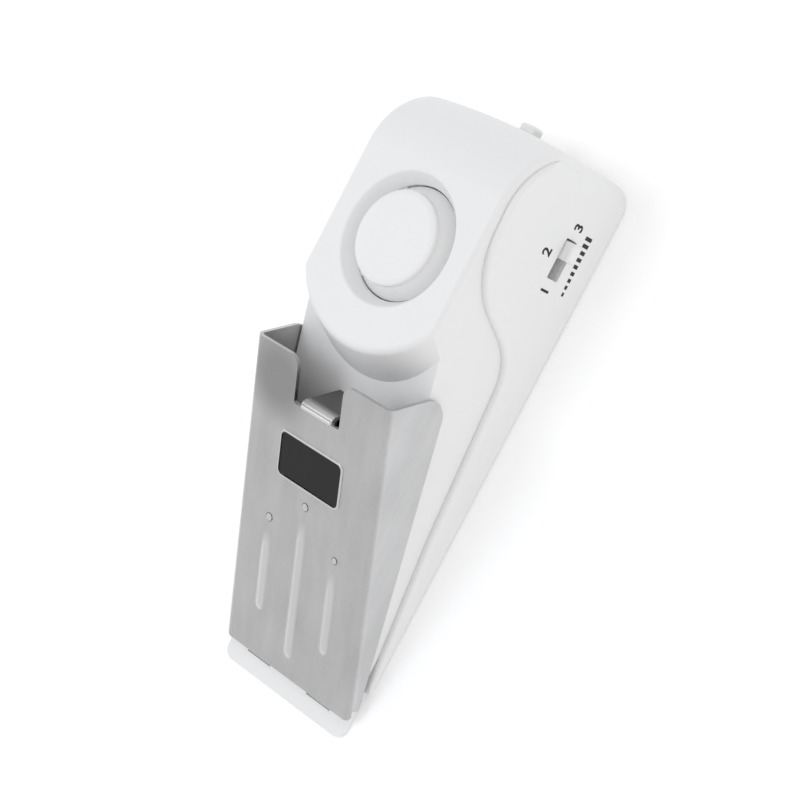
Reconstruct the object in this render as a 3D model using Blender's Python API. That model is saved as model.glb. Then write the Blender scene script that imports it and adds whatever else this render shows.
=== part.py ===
"""Portable door-stop burglar alarm.

A white plastic wedge is pushed under a door. The door's edge presses a sprung steel plate
down towards the sloped deck, and a siren in the thick end sounds. Built in metres, +Z up:
+X runs from the thin tip to the thick rear end, -Y is the side with the sensitivity switch,
and the origin is the middle of the base on the floor.
"""
import math

import bmesh
import bpy
from mathutils import Matrix, Vector

# Fits
GAP = 0.0003            # between two pieces that touch
PLAY = 0.0003           # round a screw, a stem or a slider
OVERRUN = 0.001         # how far a cutter reaches past what it cuts
WELD = 0.0004           # how deep a moulded feature roots in its wall
SLIVER = 0.000002       # points closer than this are one point

# Walls
BASE_Z = 0.0004         # the plastic stands off the floor on its rubber pads
FLOOR = 0.0020
PANEL_WALL = 0.0013     # proud side panels and rear skin of the lower housing
UPPER_WALL = 0.0018
FLOOR_TOP = BASE_Z + FLOOR
UPPER_FOOT = FLOOR_TOP + GAP

# Stations from the tip to the rear: plunger, circuit board, battery bay, rear wall
TIP_TO_PLUNGER = 0.0364
PLUNGER_ROOM = 0.0086
BOARD_LENGTH = 0.0295
BOARD_TO_BAY = 0.0035
BAY_LENGTH = 0.0520     # takes a rectangular nine-volt block with its snap
REAR_ROOM = 0.0100
LENGTH = TIP_TO_PLUNGER + PLUNGER_ROOM + BOARD_LENGTH + BOARD_TO_BAY + BAY_LENGTH + REAR_ROOM
TIP_X = -LENGTH / 2
REAR_X = LENGTH / 2
PLUNGER_X = TIP_X + TIP_TO_PLUNGER
BOARD_FRONT = PLUNGER_X + PLUNGER_ROOM
BOARD_REAR = BOARD_FRONT + BOARD_LENGTH
BAY_FRONT = BOARD_REAR + BOARD_TO_BAY
BAY_REAR = BAY_FRONT + BAY_LENGTH
UPPER_REAR = REAR_X - PANEL_WALL - GAP
CAVITY_REAR = UPPER_REAR - UPPER_WALL

# Across: half the bay, room for screws, then the walls
BAY_HALF = 0.0136
SIDE_ROOM = 0.0055
CAVITY_HALF = BAY_HALF + SIDE_ROOM
UPPER_HALF = CAVITY_HALF + UPPER_WALL
PANEL_INNER = UPPER_HALF + GAP
WIDTH = 2 * (PANEL_INNER + PANEL_WALL)

# Upwards: battery bay, room for leads, siren chamber, cap flange, seat and recess
BAY_ROOF_Z = 0.0212
BAY_WALL = 0.0012
LEAD_ROOM = 0.0033
CHAMBER_DEPTH = 0.0052
CAP_FLANGE_THICK = 0.0012
SEAT_WALL = 0.0018
RECESS_DEPTH = 0.0040
CHAMBER_BOTTOM = BAY_ROOF_Z + BAY_WALL + LEAD_ROOM
CHAMBER_TOP = CHAMBER_BOTTOM + CHAMBER_DEPTH
FLANGE_BOTTOM = CHAMBER_TOP + GAP
FLANGE_TOP = FLANGE_BOTTOM + CAP_FLANGE_THICK
SEAT_BOTTOM = FLANGE_TOP + GAP
RECESS_FLOOR_Z = SEAT_BOTTOM + SEAT_WALL
HEIGHT = RECESS_FLOOR_Z + RECESS_DEPTH

# Plate hinge and sloped deck
HINGE_INSET = 0.00573   # hinge axis behind the tip
HINGE_Z = 0.00227
REST_ANGLE = math.radians(28.74)
DECK_ANGLE = math.radians(20.5)
PRESS_ANGLE = math.radians(8.0)
DECK_GAP = 0.00035      # plate to deck when the plate is pressed home
HINGE_X = TIP_X + HINGE_INSET
NOSE_THICK = 0.00085
NOSE_ROUND = 0.0004
NOSE_SOLID = 0.0072     # solid plastic behind the strip's front end
TIP_CORNER = 0.0030
REAR_CORNER = 0.0050
CROWN_RADIUS = 0.0170   # rear end, seen from the side
EDGE_ROUND = 0.0012
HEEL_ROUND = 0.0010

# Proud side panel, seen from the side: a low strip that sweeps up round the siren
STRIP_START = 0.0128    # behind the tip
STRIP_HEIGHT = 0.0010
STRIP_NOSE = 0.0005
STRIP_BEND_START = 0.0500
STRIP_BEND_Z = 0.0071
STRIP_BEND_RADIUS = 0.0600
SWEEP_FOOT_LEAD = 0.0143  # ahead of the siren's axis
SWEEP_FOOT_Z = 0.0113
SWEEP_FOOT_RADIUS = 0.0118
SWEEP_HEAD_LEAD = 0.0015
SWEEP_HEAD_RADIUS = 0.0162
PANEL_TOP_DROP = 0.0014  # panel top below the siren face
PANEL_EDGE_ROUND = 0.0009
REAR_RIM_Z = 0.0190
LIP_Z = REAR_RIM_Z + GAP    # the upper housing closes over the rear skin from here up
EDGE_FADE = 0.0060          # the long edges are sharp this far ahead of the rear
STRIP_FRONT = TIP_X + STRIP_START

# Siren bulge, recess and cap
SIREN_START = 0.0284    # siren axis behind the front of the battery bay
SIREN_X = BAY_FRONT + SIREN_START
BULGE_RADIUS = 0.0254
BULGE_SLOPE = math.radians(24.13)
BULGE_DEPTH = 0.0160
BULGE_ROUND = 0.0022
RECESS_RADIUS = 0.0154
RECESS_FLOOR_RADIUS = 0.0131
SEAT_MARGIN = 0.0012
CAP_RADIUS = 0.0109
CAP_PROUD = 0.0012
CAP_TOP_WALL = 0.0015
CAP_SKIRT_WALL = 0.0012
CAP_EDGE_ROUND = 0.0007
CAP_FLANGE = 0.0029
SOUND_SLOT_WIDTH = 0.0008
SOUND_SLOT_MARGIN = 0.0002  # recess floor left outside a slot
SOUND_SLOT_HALF_SPAN = math.radians(40)
CAP_WINDOW_HALF = 0.0050
CAP_WINDOW_HEIGHT = 0.0026

# Siren works
CHAMBER_RADIUS = 0.0138
CHAMBER_WALL = 0.0013
CHAMBER_STEP = 0.0016
PIEZO_RADIUS = 0.0112
PIEZO_THICK = 0.0004
CERAMIC_RADIUS = 0.0075
CERAMIC_THICK = 0.0003
SIREN_EAR_RADIUS = 0.0022
SIREN_EAR_THICK = 0.0014

# Battery cover
BAY_SIDE_WALL = 0.0021
BAY_LIP = 0.0001        # bay side proud of the mouth below it
BAY_MOUTH_HALF = BAY_HALF - BAY_LIP
COVER_RAIL = 0.0010     # how far the cover's edges reach past the mouth
COVER_EDGE_THICK = 0.0012
COVER_LEDGE = 0.0010    # floor left under the cover's edges
COVER_GRIP_COUNT = 5
COVER_GRIP_PITCH = 0.0018
COVER_GRIP_WIDTH = 0.0008
COVER_GRIP_DEPTH = 0.0003
COVER_GRIP_HALF = 0.0060
COVER_GRIP_INSET = 0.0050
COVER_HALF = BAY_MOUTH_HALF + COVER_RAIL
COVER_EDGE_LOW = BASE_Z + COVER_LEDGE + GAP
COVER_EDGE_TOP = COVER_EDGE_LOW + COVER_EDGE_THICK
COVER_SLOT_TOP = COVER_EDGE_TOP + GAP

# Screws
SCREW_RADIUS = 0.0011
SCREW_HEAD_RADIUS = 0.0020
SCREW_HEAD_THICK = 0.0013
SCREW_RECESS = 0.0005
SCREW_CROSS = 0.0006
BOSS_WALL = 0.0010
PILLAR_WALL = 0.0006
HEAD_WELL_RADIUS = SCREW_HEAD_RADIUS + PLAY
PILLAR_RADIUS = HEAD_WELL_RADIUS + PILLAR_WALL
BOSS_HOLE = SCREW_RADIUS + PLAY
BOSS_RADIUS = BOSS_HOLE + BOSS_WALL
SCREW_HEAD_TOP = BASE_Z + SCREW_RECESS + SCREW_HEAD_THICK
FRONT_SCREW_START = 0.0280
FRONT_SCREW_INSET = 0.0022
HOUSING_SCREW_FRONT_X = TIP_X + FRONT_SCREW_START
HOUSING_SCREW_FRONT_Y = CAVITY_HALF - PILLAR_RADIUS - FRONT_SCREW_INSET
HOUSING_SCREW_REAR_X = BAY_REAR + BAY_WALL + PILLAR_RADIUS
HOUSING_SCREW_REAR_Y = COVER_HALF + GAP + PILLAR_RADIUS
HOUSING_PILLAR = 0.0020
HOUSING_SCREW_BITE = 0.0030

# Circuit board and what stands on it
BOARD_SIDE_GAP = 0.0026
BOARD_THICK = 0.0016
BOARD_LIFT = 0.0043
BOARD_SCREW_INSET_X = 0.0030
BOARD_SCREW_INSET_Y = 0.0025
BOARD_CORNER = 0.0010
BOARD_HALF = CAVITY_HALF - BOARD_SIDE_GAP
BOARD_BOTTOM = FLOOR_TOP + BOARD_LIFT + GAP
BOARD_TOP = BOARD_BOTTOM + BOARD_THICK
PART_Z = BOARD_TOP + GAP
CHIP_LENGTH = 0.0090
CHIP_WIDTH = 0.0040
CHIP_HEIGHT = 0.0016
CHIP_LEG_PITCH = 0.00254
CHIP_LEG_WIDTH = 0.0006
CHIP_LEG_REACH = 0.0010
CHIP_LEG_THICK = 0.0004
CHIP_LEG_COUNT = 3
COIL_RADIUS = 0.0038
COIL_CORE_RADIUS = 0.0027
COIL_HEIGHT = 0.0070
COIL_FLANGE = 0.0010
CAPACITOR_RADIUS = 0.0024
CAPACITOR_HEIGHT = 0.0070
CAPACITOR_CRIMP = 0.0003
CAPACITOR_FOOT = 0.0009
TRANSISTOR_RADIUS = 0.0022
TRANSISTOR_HEIGHT = 0.0045
TRANSISTOR_FLAT = 0.0008
RESISTOR_RADIUS = 0.0009
RESISTOR_WAIST = 0.0007
RESISTOR_LENGTH = 0.0062
RESISTOR_END = 0.0012
RESISTOR_PITCH = 0.0032
RESISTOR_COUNT = 3
SENSOR_RADIUS = 0.0020
SENSOR_LENGTH = 0.0110
SENSOR_CAP = 0.0010
SENSOR_CAP_STEP = 0.0003
TRIGGER_LENGTH = 0.0052
TRIGGER_WIDTH = 0.0064
TRIGGER_HEIGHT = 0.0030
TRIGGER_LEAD = 0.0009    # switch behind the tip of the pressed hook
TRIGGER_BUTTON_RADIUS = 0.0012
TRIGGER_BUTTON_HEIGHT = 0.0006

# Slide switches, one in the side and one in the rear
SWITCH_LENGTH = 0.0086
SWITCH_HEIGHT = 0.0048
SWITCH_DEPTH = 0.0029
SWITCH_POCKET_DEPTH = 0.0012
SWITCH_PITCH = 0.0020
KNOB_LENGTH = 0.0043
KNOB_HEIGHT = 0.0034
KNOB_PROUD = 0.0026
KNOB_ROUND = 0.0009
KNOB_TONGUE_LENGTH = 0.0020
KNOB_TONGUE_HEIGHT = 0.0016
SLOT_LENGTH = 0.0100
SLOT_HEIGHT = 0.0040
SLOT_CORNER = 0.0004
SENSITIVITY_INSET = 0.0212
SENSITIVITY_X = REAR_X - SENSITIVITY_INSET
SENSITIVITY_Z = 0.0125
POWER_Z = 0.0125

# Battery snap and leads
SNAP_THICK = 0.0018
SNAP_HALF_WIDTH = 0.0125
SNAP_LOW = 0.0050
SNAP_HEIGHT = 0.0125
SNAP_CORNER = 0.0020
STUD_SPACING = 0.0127
STUD_RADIUS = 0.0028
STUD_WAIST = 0.0022
STUD_LENGTH = 0.0020
LEAD_RADIUS = 0.00055
LEAD_HOLE_RADIUS = 0.0010
BATTERY_LEAD_Y = 0.0072
BATTERY_LEAD_Z = 0.0140
SIREN_LEAD_Y = 0.0103

# Rubber pads
PAD_THICK = 0.0010
PAD_CORNER = 0.0012
PAD_MARGIN = 0.0025
FRONT_PAD_LEAD = 0.0046  # front pad behind the plunger's axis
PAD_INSET = 0.0050       # from the front of the bay, ahead and behind
SIDE_PAD_LENGTH = 0.0400

# Plunger and return spring under the plate
PLUNGER_RADIUS = 0.0043
PLUNGER_WALL = 0.0008
PLUNGER_DOME = 0.0050
PLUNGER_SKIRT_Z = 0.0098
GUIDE_WALL = 0.0010
WELL_FLOOR_THICK = 0.0012
WELL_FLOOR_Z = 0.0042
SPRING_RADIUS = 0.0028
SPRING_WIRE = 0.0003
SPRING_TURNS = 7
SPRING_POST_RADIUS = 0.0019
SPRING_POST_HEIGHT = 0.0028
CURL_POINTS = 10

# Pressure plate, a folded sheet: sizes along the plate start at the hinge axis
SHEET = 0.0009
PLATE_SIDE_GAP = 0.0004
PLATE_TO_BULGE = 0.00251
PLATE_HALF = UPPER_HALF + PLATE_SIDE_GAP + SHEET
PRESSED_ANGLE = REST_ANGLE - PRESS_ANGLE
PLATE_RUN = SIREN_X - BULGE_RADIUS - PLATE_TO_BULGE - HINGE_X
PLATE_LENGTH = PLATE_RUN / math.cos(PRESSED_ANGLE)
PLATE_TOE = 0.0004
FOLD_RADIUS = 0.0014
FLANGE_REAR = 0.0163
FLANGE_FRONT = 0.0019
FLANGE_START = 0.0022
FLANGE_CORNER = 0.0036
FLANGE_NOSE = 0.0012
TOE_CORNER = 0.0020
NOTCH_HALF = 0.0076
NOTCH_DEPTH = 0.0109
NOTCH_ROUND = 0.0028
NOTCH_INNER_ROUND = 0.0006
HOOK_HALF = 0.0051
HOOK_BEND = 0.0008
HOOK_FOOT = 0.0032
HOOK_SLOT_PLAY = 0.0004
KNUCKLE_RADIUS = 0.0008
KNUCKLE_CENTRE_Y = 0.0107
KNUCKLE_WIDTH = 0.0075
KNUCKLE_SLOT_PLAY = 0.0004
KNUCKLE_SKIN = 0.0005
RIB_HALF_WIDTH = 0.0011
RIB_PROUD = 0.0005
RIB_PITCH = 0.0114
SIDE_RIB_START = 0.0120
SIDE_RIB_END = 0.0345
MID_RIB_START = 0.0050
MID_RIB_END = 0.0425
DIMPLE_RADIUS = 0.0009
DIMPLE_PROUD = 0.00045
DIMPLE_LEAD = 0.0012
RIB_FADE = 0.0100
RIB_LEAST_SHARE = 0.12
RIB_FADE_SHARES = ((0.0, 1.0), (0.5, 0.8), (1.0, RIB_LEAST_SHARE))
LABEL_LENGTH = 0.0102
LABEL_WIDTH = 0.0198
LABEL_CENTRE = 0.0538
LABEL_THICK = 0.0004
LABEL_CORNER = 0.0012
LABEL_SINK = 0.0004

# Smoothness
ARC_STEPS = 5
CROWN_STEPS = 10
ROUND_STEPS = 32
BULGE_STEPS = 56
SMALL_STEPS = 16
SMOOTH_ANGLE = math.radians(35)


# Materials

def finish(name, colour, roughness, metallic=0.0):
    """Return a Principled material."""
    material = bpy.data.materials.new(name)
    material.use_nodes = True
    shader = material.node_tree.nodes["Principled BSDF"]
    shader.inputs["Base Color"].default_value = (*colour, 1.0)
    shader.inputs["Roughness"].default_value = roughness
    shader.inputs["Metallic"].default_value = metallic
    material.diffuse_color = (*colour, 1.0)
    return material


def clear_scene():
    """Remove every object that the file opened with."""
    for thing in list(bpy.data.objects):
        bpy.data.objects.remove(thing, do_unlink=True)


# Outlines

def circle_points(centre, radius, start, end, steps):
    """Return points along an arc, both ends included."""
    points = []
    for step in range(steps + 1):
        angle = start + (end - start) * step / steps
        points.append((centre[0] + radius * math.cos(angle), centre[1] + radius * math.sin(angle)))
    return points


def full_circle(centre, radius, steps):
    """Return a closed ring of points, flat sides towards the axes."""
    start = math.pi / steps
    return circle_points(centre, radius, start, start + math.tau, steps)[:-1]


def rounded(corners, steps=ARC_STEPS):
    """Return an outline from (u, v, radius) corners, each turned as an arc of its radius."""
    points = []
    count = len(corners)
    for index, (u, v, radius) in enumerate(corners):
        here = Vector((u, v))
        if radius <= 0:
            points.append((u, v))
            continue
        before = (Vector(corners[index - 1][:2]) - here).normalized()
        after = (Vector(corners[(index + 1) % count][:2]) - here).normalized()
        half = before.angle(after) / 2
        centre = here + (before + after).normalized() * (radius / math.sin(half))
        first = here + before * (radius / math.tan(half)) - centre
        sweep = first.angle_signed(here + after * (radius / math.tan(half)) - centre)
        for step in range(steps + 1):
            turned = Matrix.Rotation(-sweep * step / steps, 2) @ first
            points.append((centre.x + turned.x, centre.y + turned.y))
    return points


def box_outline(u0, u1, v0, v1, radius=0.0, steps=ARC_STEPS):
    """Return a rectangle with four like corners."""
    return rounded([(u0, v0, radius), (u1, v0, radius), (u1, v1, radius), (u0, v1, radius)], steps)


def plan_outline(half, front, rear, front_corner, rear_corner):
    """Return a plan outline with its own front and rear corners."""
    return rounded([(front, -half, front_corner), (rear, -half, rear_corner),
                    (rear, half, rear_corner), (front, half, front_corner)])


# Solids

def new_object(name, mesh):
    """Put a mesh in the scene under a name."""
    thing = bpy.data.objects.new(name, mesh)
    bpy.context.scene.collection.objects.link(thing)
    return thing


def from_bmesh(name, shape):
    """Turn a bmesh into an object whose faces point out."""
    bmesh.ops.recalc_face_normals(shape, faces=shape.faces)
    mesh = bpy.data.meshes.new(name)
    shape.to_mesh(mesh)
    shape.free()
    return new_object(name, mesh)


PLACE = {
    "X": lambda u, v, w: (w, u, v),
    "Y": lambda u, v, w: (u, w, v),
    "Z": lambda u, v, w: (u, v, w),
}


def prism(name, outline, axis, low, high):
    """Extrude an outline along an axis: (y, z) along X, (x, z) along Y or (x, y) along Z."""
    shape = bmesh.new()
    place = PLACE[axis]
    ring = [shape.verts.new(place(u, v, low)) for u, v in outline]
    face = shape.faces.new(ring)
    moved = bmesh.ops.extrude_face_region(shape, geom=[face])["geom"]
    corners = [item for item in moved if isinstance(item, bmesh.types.BMVert)]
    step = Vector(place(0, 0, high - low))
    bmesh.ops.translate(shape, verts=corners, vec=step)
    return from_bmesh(name, shape)


def block(name, x0, x1, y0, y1, z0, z1):
    """Return a plain box."""
    return prism(name, box_outline(x0, x1, y0, y1), "Z", z0, z1)


def turned(name, profile, centre, steps=ROUND_STEPS):
    """Spin a closed (radius, z) profile round a vertical axis."""
    shape = bmesh.new()
    ring = [shape.verts.new((r, 0, z)) for r, z in profile]
    edges = [shape.edges.new((ring[i - 1], ring[i])) for i in range(len(ring))]
    bmesh.ops.spin(shape, geom=ring + edges, cent=(0, 0, 0), axis=(0, 0, 1),
                   angle=math.tau, steps=steps, use_merge=True)
    bmesh.ops.remove_doubles(shape, verts=shape.verts, dist=SLIVER)
    flat = [edge for edge in shape.edges if not edge.link_faces]
    bmesh.ops.delete(shape, geom=flat, context="EDGES")
    bmesh.ops.translate(shape, verts=shape.verts, vec=(centre[0], centre[1], 0))
    return from_bmesh(name, shape)


def rod(name, radius, centre, low, high, steps=SMALL_STEPS):
    """Return an upright cylinder."""
    return prism(name, full_circle(centre, radius, steps), "Z", low, high)


def lying_rod(name, radius, axis, centre, low, high, steps=SMALL_STEPS):
    """Return a cylinder along X or Y through a centre in the other two axes."""
    return prism(name, full_circle(centre, radius, steps), axis, low, high)


def evaluated(thing):
    """Return the mesh that an object's modifiers make of it, without slivers."""
    graph = bpy.context.evaluated_depsgraph_get()
    mesh = bpy.data.meshes.new_from_object(thing.evaluated_get(graph))
    shape = bmesh.new()
    shape.from_mesh(mesh)
    bmesh.ops.remove_doubles(shape, verts=shape.verts, dist=SLIVER)
    bmesh.ops.dissolve_degenerate(shape, dist=SLIVER, edges=shape.edges)
    shape.to_mesh(mesh)
    closed = all(len(edge.link_faces) == 2 for edge in shape.edges)
    shape.free()
    return mesh, closed


def combine(thing, tools, operation, solver="EXACT"):
    """Apply a Boolean operation with each tool in turn, then remove the tools."""
    for tool in tools:
        modifier = thing.modifiers.new("Combine", "BOOLEAN")
        modifier.operation = operation
        modifier.solver = solver
        modifier.object = tool
        mesh, closed = evaluated(thing)
        if not closed:
            modifier.solver = "MANIFOLD"
            mesh, closed = evaluated(thing)
        thing.modifiers.clear()
        thing.data = mesh
        bpy.data.objects.remove(tool, do_unlink=True)
    return thing


def cut(thing, *tools):
    return combine(thing, tools, "DIFFERENCE")


def fuse(thing, *tools):
    return combine(thing, tools, "UNION")


def overlap(thing, *tools):
    return combine(thing, tools, "INTERSECT")


def dress(thing, name, material, smooth=SMOOTH_ANGLE):
    """Name a finished piece, shade it and give it its material."""
    thing.name = name
    thing.data.name = name
    thing.data.materials.clear()
    thing.data.materials.append(material)
    thing.data.shade_smooth()
    thing.data.set_sharp_from_angle(angle=smooth)
    return thing


def dress_set(things, name, material):
    """Name and dress a set of like pieces, numbered from one."""
    for number, thing in enumerate(things, 1):
        dress(thing, f"{name}_{number}", material)


def set_origin(thing, point):
    """Move an object's origin to a point without moving its mesh."""
    thing.data.transform(Matrix.Translation(-Vector(point)))
    thing.location = point


# Shared places

def deck_z(x):
    """Height of the sloped deck at x."""
    drop = DECK_GAP / math.cos(DECK_ANGLE)
    return HINGE_Z - drop + (x - HINGE_X) * math.tan(DECK_ANGLE)


def deck_x(z):
    """Place along the deck where it reaches a height."""
    drop = DECK_GAP / math.cos(DECK_ANGLE)
    return HINGE_X + (z - HINGE_Z + drop) / math.tan(DECK_ANGLE)


def mirrored(x, y):
    """Return a place and its twin across the middle plane."""
    return [(x, -y), (x, y)]


def housing_screws():
    return (mirrored(HOUSING_SCREW_FRONT_X, HOUSING_SCREW_FRONT_Y)
            + mirrored(HOUSING_SCREW_REAR_X, HOUSING_SCREW_REAR_Y))


def board_screws():
    y = BOARD_HALF - BOARD_SCREW_INSET_Y
    return (mirrored(BOARD_FRONT + BOARD_SCREW_INSET_X, y)
            + mirrored(BOARD_REAR - BOARD_SCREW_INSET_X, y))


def siren_ears():
    return mirrored(SIREN_X, CAP_RADIUS + CAP_FLANGE + GAP + BOSS_RADIUS)


def slot_tool(axis, along, height, low, high):
    """Cutter for a slide switch's slot."""
    outline = box_outline(along - SLOT_LENGTH / 2, along + SLOT_LENGTH / 2,
                          height - SLOT_HEIGHT / 2, height + SLOT_HEIGHT / 2, SLOT_CORNER, 2)
    return prism("slot", outline, axis, low, high)


CAP_HOLE_RADIUS = CAP_RADIUS + PLAY
SLOT_OUTER_RADIUS = RECESS_FLOOR_RADIUS - SOUND_SLOT_MARGIN
SLOT_INNER_RADIUS = SLOT_OUTER_RADIUS - SOUND_SLOT_WIDTH
PILLAR_TOP = FLOOR_TOP + HOUSING_PILLAR
GUIDE_BORE = PLUNGER_RADIUS + PLAY


# Upper housing

def upper_profile():
    """Side view of the wedge: nose, foot, lip over the rear skin, crown, siren face and deck."""
    nose_z = BASE_Z + NOSE_THICK
    step_x = STRIP_FRONT - GAP
    return [
        (TIP_X, BASE_Z, NOSE_ROUND),
        (step_x, BASE_Z, 0),
        (step_x, UPPER_FOOT, 0),
        (UPPER_REAR, UPPER_FOOT, 0),
        (UPPER_REAR, LIP_Z, 0),
        (REAR_X, LIP_Z, 0),
        (REAR_X, HEIGHT, CROWN_RADIUS),
        (deck_x(HEIGHT), HEIGHT, 0),
        (deck_x(nose_z), nose_z, 0),
        (TIP_X, nose_z, NOSE_ROUND),
    ]


def soften_long_edges(thing, half, radius, low, rear):
    """Round the edges where the top of a prism meets its two sides, as far as the rear."""
    shape = bmesh.new()
    shape.from_mesh(thing.data)
    chosen = []
    for edge in shape.edges:
        one, two = edge.verts
        on_side = abs(abs(one.co.y) - half) < radius / 100 and abs(one.co.y - two.co.y) < radius / 100
        if on_side and min(one.co.z, two.co.z) > low and max(one.co.x, two.co.x) < rear:
            chosen.append(edge)
    bmesh.ops.bevel(shape, geom=chosen, offset=radius, offset_type="OFFSET", segments=3,
                    profile=0.5, affect="EDGES", clamp_overlap=False)
    bmesh.ops.recalc_face_normals(shape, faces=shape.faces)
    shape.to_mesh(thing.data)
    shape.free()


def bulge(shrink, top):
    """The flared drum round the siren, cut off behind its middle and at the sides."""
    low = HEIGHT - BULGE_DEPTH
    radius = BULGE_RADIUS - shrink
    base = radius + math.tan(BULGE_SLOPE) * (top - low)
    edge = BULGE_ROUND if shrink == 0 else 0
    section = rounded([(0, low, 0), (base, low, 0), (radius, top, edge), (0, top, 0)])
    drum = turned("bulge", section, (SIREN_X, 0), BULGE_STEPS)
    half = UPPER_HALF - shrink
    band = rounded([(-half, low, 0), (half, low, 0), (half, top, EDGE_ROUND),
                    (-half, top, EDGE_ROUND)], 3)
    front = SIREN_X - base - OVERRUN
    return overlap(drum, prism("band", band, "X", front, SIREN_X))


def lip_outline():
    """Plan of the lip: as wide as the upper housing, with the lower housing's rear corners."""
    centre_x = REAR_X - REAR_CORNER
    centre_y = WIDTH / 2 - REAR_CORNER
    side = math.asin((UPPER_HALF - centre_y) / REAR_CORNER)
    near = circle_points((centre_x, -centre_y), REAR_CORNER, -side, 0, ARC_STEPS)
    far = circle_points((centre_x, centre_y), REAR_CORNER, 0, side, ARC_STEPS)
    return [(SIREN_X, -UPPER_HALF), *near, *far, (SIREN_X, UPPER_HALF)]


def upper_shell():
    """Outer form and cavity of the upper housing."""
    shell = prism("upper", rounded(upper_profile(), CROWN_STEPS), "Y", -UPPER_HALF, UPPER_HALF)
    soften_long_edges(shell, UPPER_HALF, EDGE_ROUND, UPPER_FOOT + EDGE_ROUND, REAR_X - EDGE_FADE)
    corner = REAR_CORNER - PANEL_WALL - GAP
    foot = plan_outline(UPPER_HALF, TIP_X, UPPER_REAR, TIP_CORNER, corner)
    plan = prism("foot", foot, "Z", 0, HEIGHT + OVERRUN)
    overlap(shell, fuse(plan, prism("lip", lip_outline(), "Z", LIP_Z, HEIGHT + OVERRUN)))
    fuse(shell, bulge(0, HEIGHT))
    slope = UPPER_WALL / math.cos(DECK_ANGLE)
    roof = HEIGHT - UPPER_WALL
    front = STRIP_FRONT + NOSE_SOLID
    hollow = rounded([
        (front, 0, 0),
        (CAVITY_REAR, 0, 0),
        (CAVITY_REAR, roof, CROWN_RADIUS - UPPER_WALL),
        (deck_x(roof + slope), roof, 0),
        (front, deck_z(front) - slope, 0),
    ], CROWN_STEPS)
    cavity = prism("cavity", hollow, "Y", -CAVITY_HALF, CAVITY_HALF)
    return cut(shell, fuse(cavity, bulge(UPPER_WALL, roof)))


def sound_slots():
    """Two crescents beside the cap, towards the tip and towards the rear."""
    tools = []
    for middle in (0, math.pi):
        start = middle - SOUND_SLOT_HALF_SPAN
        end = middle + SOUND_SLOT_HALF_SPAN
        outer = circle_points((SIREN_X, 0), SLOT_OUTER_RADIUS, start, end, 10)
        inner = circle_points((SIREN_X, 0), SLOT_INNER_RADIUS, end, start, 10)
        tools.append(prism("crescent", outer + inner, "Z", SEAT_BOTTOM - OVERRUN, HEIGHT))
    return tools


def siren_recess():
    """Cutter for the dished recess and the hole for the cap."""
    flare = (RECESS_RADIUS - RECESS_FLOOR_RADIUS) / RECESS_DEPTH
    mouth = RECESS_RADIUS + flare * OVERRUN
    top = HEIGHT + OVERRUN
    low = SEAT_BOTTOM - OVERRUN
    section = [(0, low), (CAP_HOLE_RADIUS, low), (CAP_HOLE_RADIUS, RECESS_FLOOR_Z),
               (RECESS_FLOOR_RADIUS, RECESS_FLOOR_Z), (mouth, top), (0, top)]
    return turned("recess", section, (SIREN_X, 0), BULGE_STEPS)


def plunger_guide():
    """The tube that guides the plunger, with a post that centres the spring."""
    outer = GUIDE_BORE + GUIDE_WALL
    bottom = WELL_FLOOR_Z - WELL_FLOOR_THICK
    top = deck_z(PLUNGER_X - outer) - WELD
    tube = rod("guide", outer, (PLUNGER_X, 0), bottom, top, ROUND_STEPS)
    bore = turned("bore", [(0, WELL_FLOOR_Z + SPRING_POST_HEIGHT),
                           (SPRING_POST_RADIUS, WELL_FLOOR_Z + SPRING_POST_HEIGHT),
                           (SPRING_POST_RADIUS, WELL_FLOOR_Z), (GUIDE_BORE, WELL_FLOOR_Z),
                           (GUIDE_BORE, HEIGHT), (0, HEIGHT)], (PLUNGER_X, 0))
    return tube, bore


def upper_bosses():
    """Screw bosses that hang from the deck, the crown and the siren seat."""
    bosses = []
    holes = []
    for x, y in housing_screws():
        low = PILLAR_TOP + GAP
        top = min(deck_z(x - BOSS_RADIUS), HEIGHT) - UPPER_WALL
        if x > SIREN_X:
            top = HEIGHT - CROWN_RADIUS
        bosses.append(rod("boss", BOSS_RADIUS, (x, y), low, top))
        depth = SCREW_HEAD_TOP + HOUSING_PILLAR + HOUSING_SCREW_BITE + GAP
        holes.append(rod("pilot", BOSS_HOLE, (x, y), low - OVERRUN, depth))
        holes.append(rod("room", PILLAR_RADIUS + GAP, (x, y), 0, low))
    for x, y in siren_ears():
        low = CHAMBER_BOTTOM + SIREN_EAR_THICK + GAP
        bosses.append(rod("boss", BOSS_RADIUS, (x, y), low, HEIGHT - UPPER_WALL + WELD))
        holes.append(rod("pilot", BOSS_HOLE, (x, y), low - OVERRUN, SEAT_BOTTOM))
    return bosses, holes


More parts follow.
